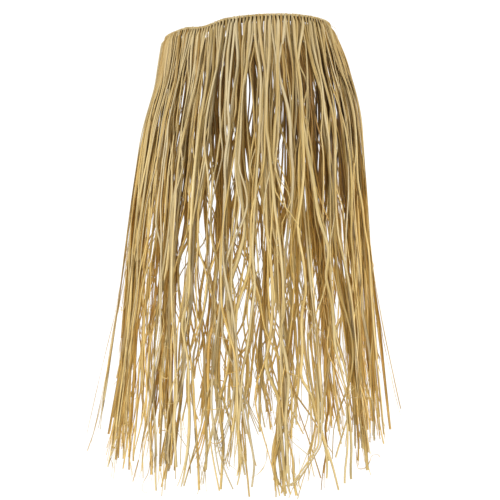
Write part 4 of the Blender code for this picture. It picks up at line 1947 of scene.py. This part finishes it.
@dataclass
class Studio:
    """A plain pale floor, soft light and the camera."""

    azimuth: float = math.radians(50.0)
    distance: float = 2.1
    height: float = -0.35
    lens: float = 82.7
    sensor: float = 36.0
    aim_right: float = 0.0073
    aim_height: float = -0.4012
    floor_height: float = -1.0
    floor_size: float = 400.0
    floor_shade: float = 0.90
    sky_strength: float = 0.27
    lamps: tuple[Lamp, ...] = (
        Lamp("key", -65.0, 16.0, 2.15, 26.0),
        Lamp("fill", 75.0, 6.0, 2.8, 28.0),
        Lamp("back", 172.0, 32.0, 2.0, 40.0),
        Lamp("overhead", 0.0, 86.0, 1.15, 40.0),
    )

    def way(self, turn: float, level: float, high: float) -> Vector:
        """Adds up a level part, turned to the camera's right, and a height."""
        angle = self.azimuth + turn
        return Vector((math.sin(angle), -math.cos(angle), 0.0)) * level + Vector((0.0, 0.0, high))

    def camera(self) -> None:
        """Places the camera."""
        data = bpy.data.cameras.new("camera")
        data.lens, data.sensor_width, data.clip_end = self.lens, self.sensor, self.floor_size
        made = linked("camera", data)
        made.location = self.way(0.0, self.distance, self.height)
        target = self.way(TURN / 4.0, self.aim_right, self.aim_height)
        made.rotation_euler = (target - made.location).to_track_quat("-Z", "Y").to_euler()
        bpy.context.scene.camera = made

    def hang_lamp(self, lamp: Lamp) -> None:
        """Hangs a lamp that lights the skirt and the floor evenly.

        Args:
            lamp: Its place and strength.
        """
        data = bpy.data.lights.new(lamp.name, "SUN")
        data.energy, data.angle = lamp.strength, math.radians(lamp.spread)
        made, high = linked(lamp.name, data), math.radians(lamp.high)
        way = self.way(math.radians(lamp.turn), math.cos(high), math.sin(high))
        made.location = way * self.distance
        made.rotation_euler = way.to_track_quat("Z", "Y").to_euler()

    def floor_light(self) -> float:
        """Works out how pale the lit floor looks."""
        lamps = sum(lamp.strength * math.sin(math.radians(lamp.high)) for lamp in self.lamps)
        return self.floor_shade * (self.sky_strength + lamps / math.pi)

    def floor(self) -> None:
        """Lays the floor."""
        half = self.floor_size / 2.0
        mesh = bpy.data.meshes.new("floor")
        corners = [(-half, -half), (half, -half), (half, half), (-half, half)]
        mesh.from_pydata([(x, y, self.floor_height) for x, y in corners], [], [(0, 1, 2, 3)])
        finish = bpy.data.materials.new("floor_paint")
        finish.use_nodes = True
        shader = finish.node_tree.nodes["Principled BSDF"]
        shader.inputs["Base Color"].default_value = (self.floor_shade,) * 3 + (1.0,)
        shader.inputs["Roughness"].default_value = 1.0
        shader.inputs["Specular IOR Level"].default_value = 0.0
        mesh.materials.append(finish)
        linked("floor", mesh)

    def sky(self) -> None:
        """Makes the even light all round, and a backdrop as pale as the lit floor."""
        world = bpy.data.worlds.new("studio")
        bpy.context.scene.world = world
        world.use_nodes = True
        nodes, white = Nodes(world.node_tree), (1.0, 1.0, 1.0, 1.0)
        lit, seen = (
            nodes.made("ShaderNodeBackground", "Background", {"Color": white, "Strength": strength})
            for strength in (self.sky_strength, self.floor_light())
        )
        ray = nodes.made("ShaderNodeLightPath", "Is Camera Ray")
        mixed = nodes.made("ShaderNodeMixShader", "Shader", {0: ray, 1: lit, 2: seen})
        nodes.tree.links.new(mixed, world.node_tree.nodes["World Output"].inputs["Surface"])

    def build(self) -> None:
        """Builds the studio."""
        bpy.context.scene.view_settings.view_transform = "Standard"
        self.camera()
        self.floor()
        self.sky()
        for lamp in self.lamps:
            self.hang_lamp(lamp)


def main() -> None:
    """Builds every piece and reports it."""
    logging.basicConfig(level=logging.INFO, format="%(name)s: %(message)s")
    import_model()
    Studio().build()
    ring = Ring()
    hang = Hang(ring)
    raffia = RaffiaFinish("raffia_strands").make()
    knotted = RaffiaFinish("raffia_knots", Pattern.IN_PLACE, KNOT_REPEATS).make()
    twisted = RaffiaFinish("raffia_cord", edge_shade_colour=CORD_EDGE_SHADE_COLOUR).make()
    heading = Heading(knotted, ring, knots=150)
    tie = WaistTie(ring, twisted)
    pieces = [
        WaistCord(ring, twisted, tie).build(),
        *tie.build(),
        heading.build(),
        NotchShadeStrip(ring, raffia).build(),
        *Fringe(hang, SolidPlan(hang), raffia, heading.knots).build(),
    ]
    for piece in pieces:
        LOG.info("%s: %d faces", piece.name, len(piece.data.polygons))
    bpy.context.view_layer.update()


if __name__ == "__main__":
    main()
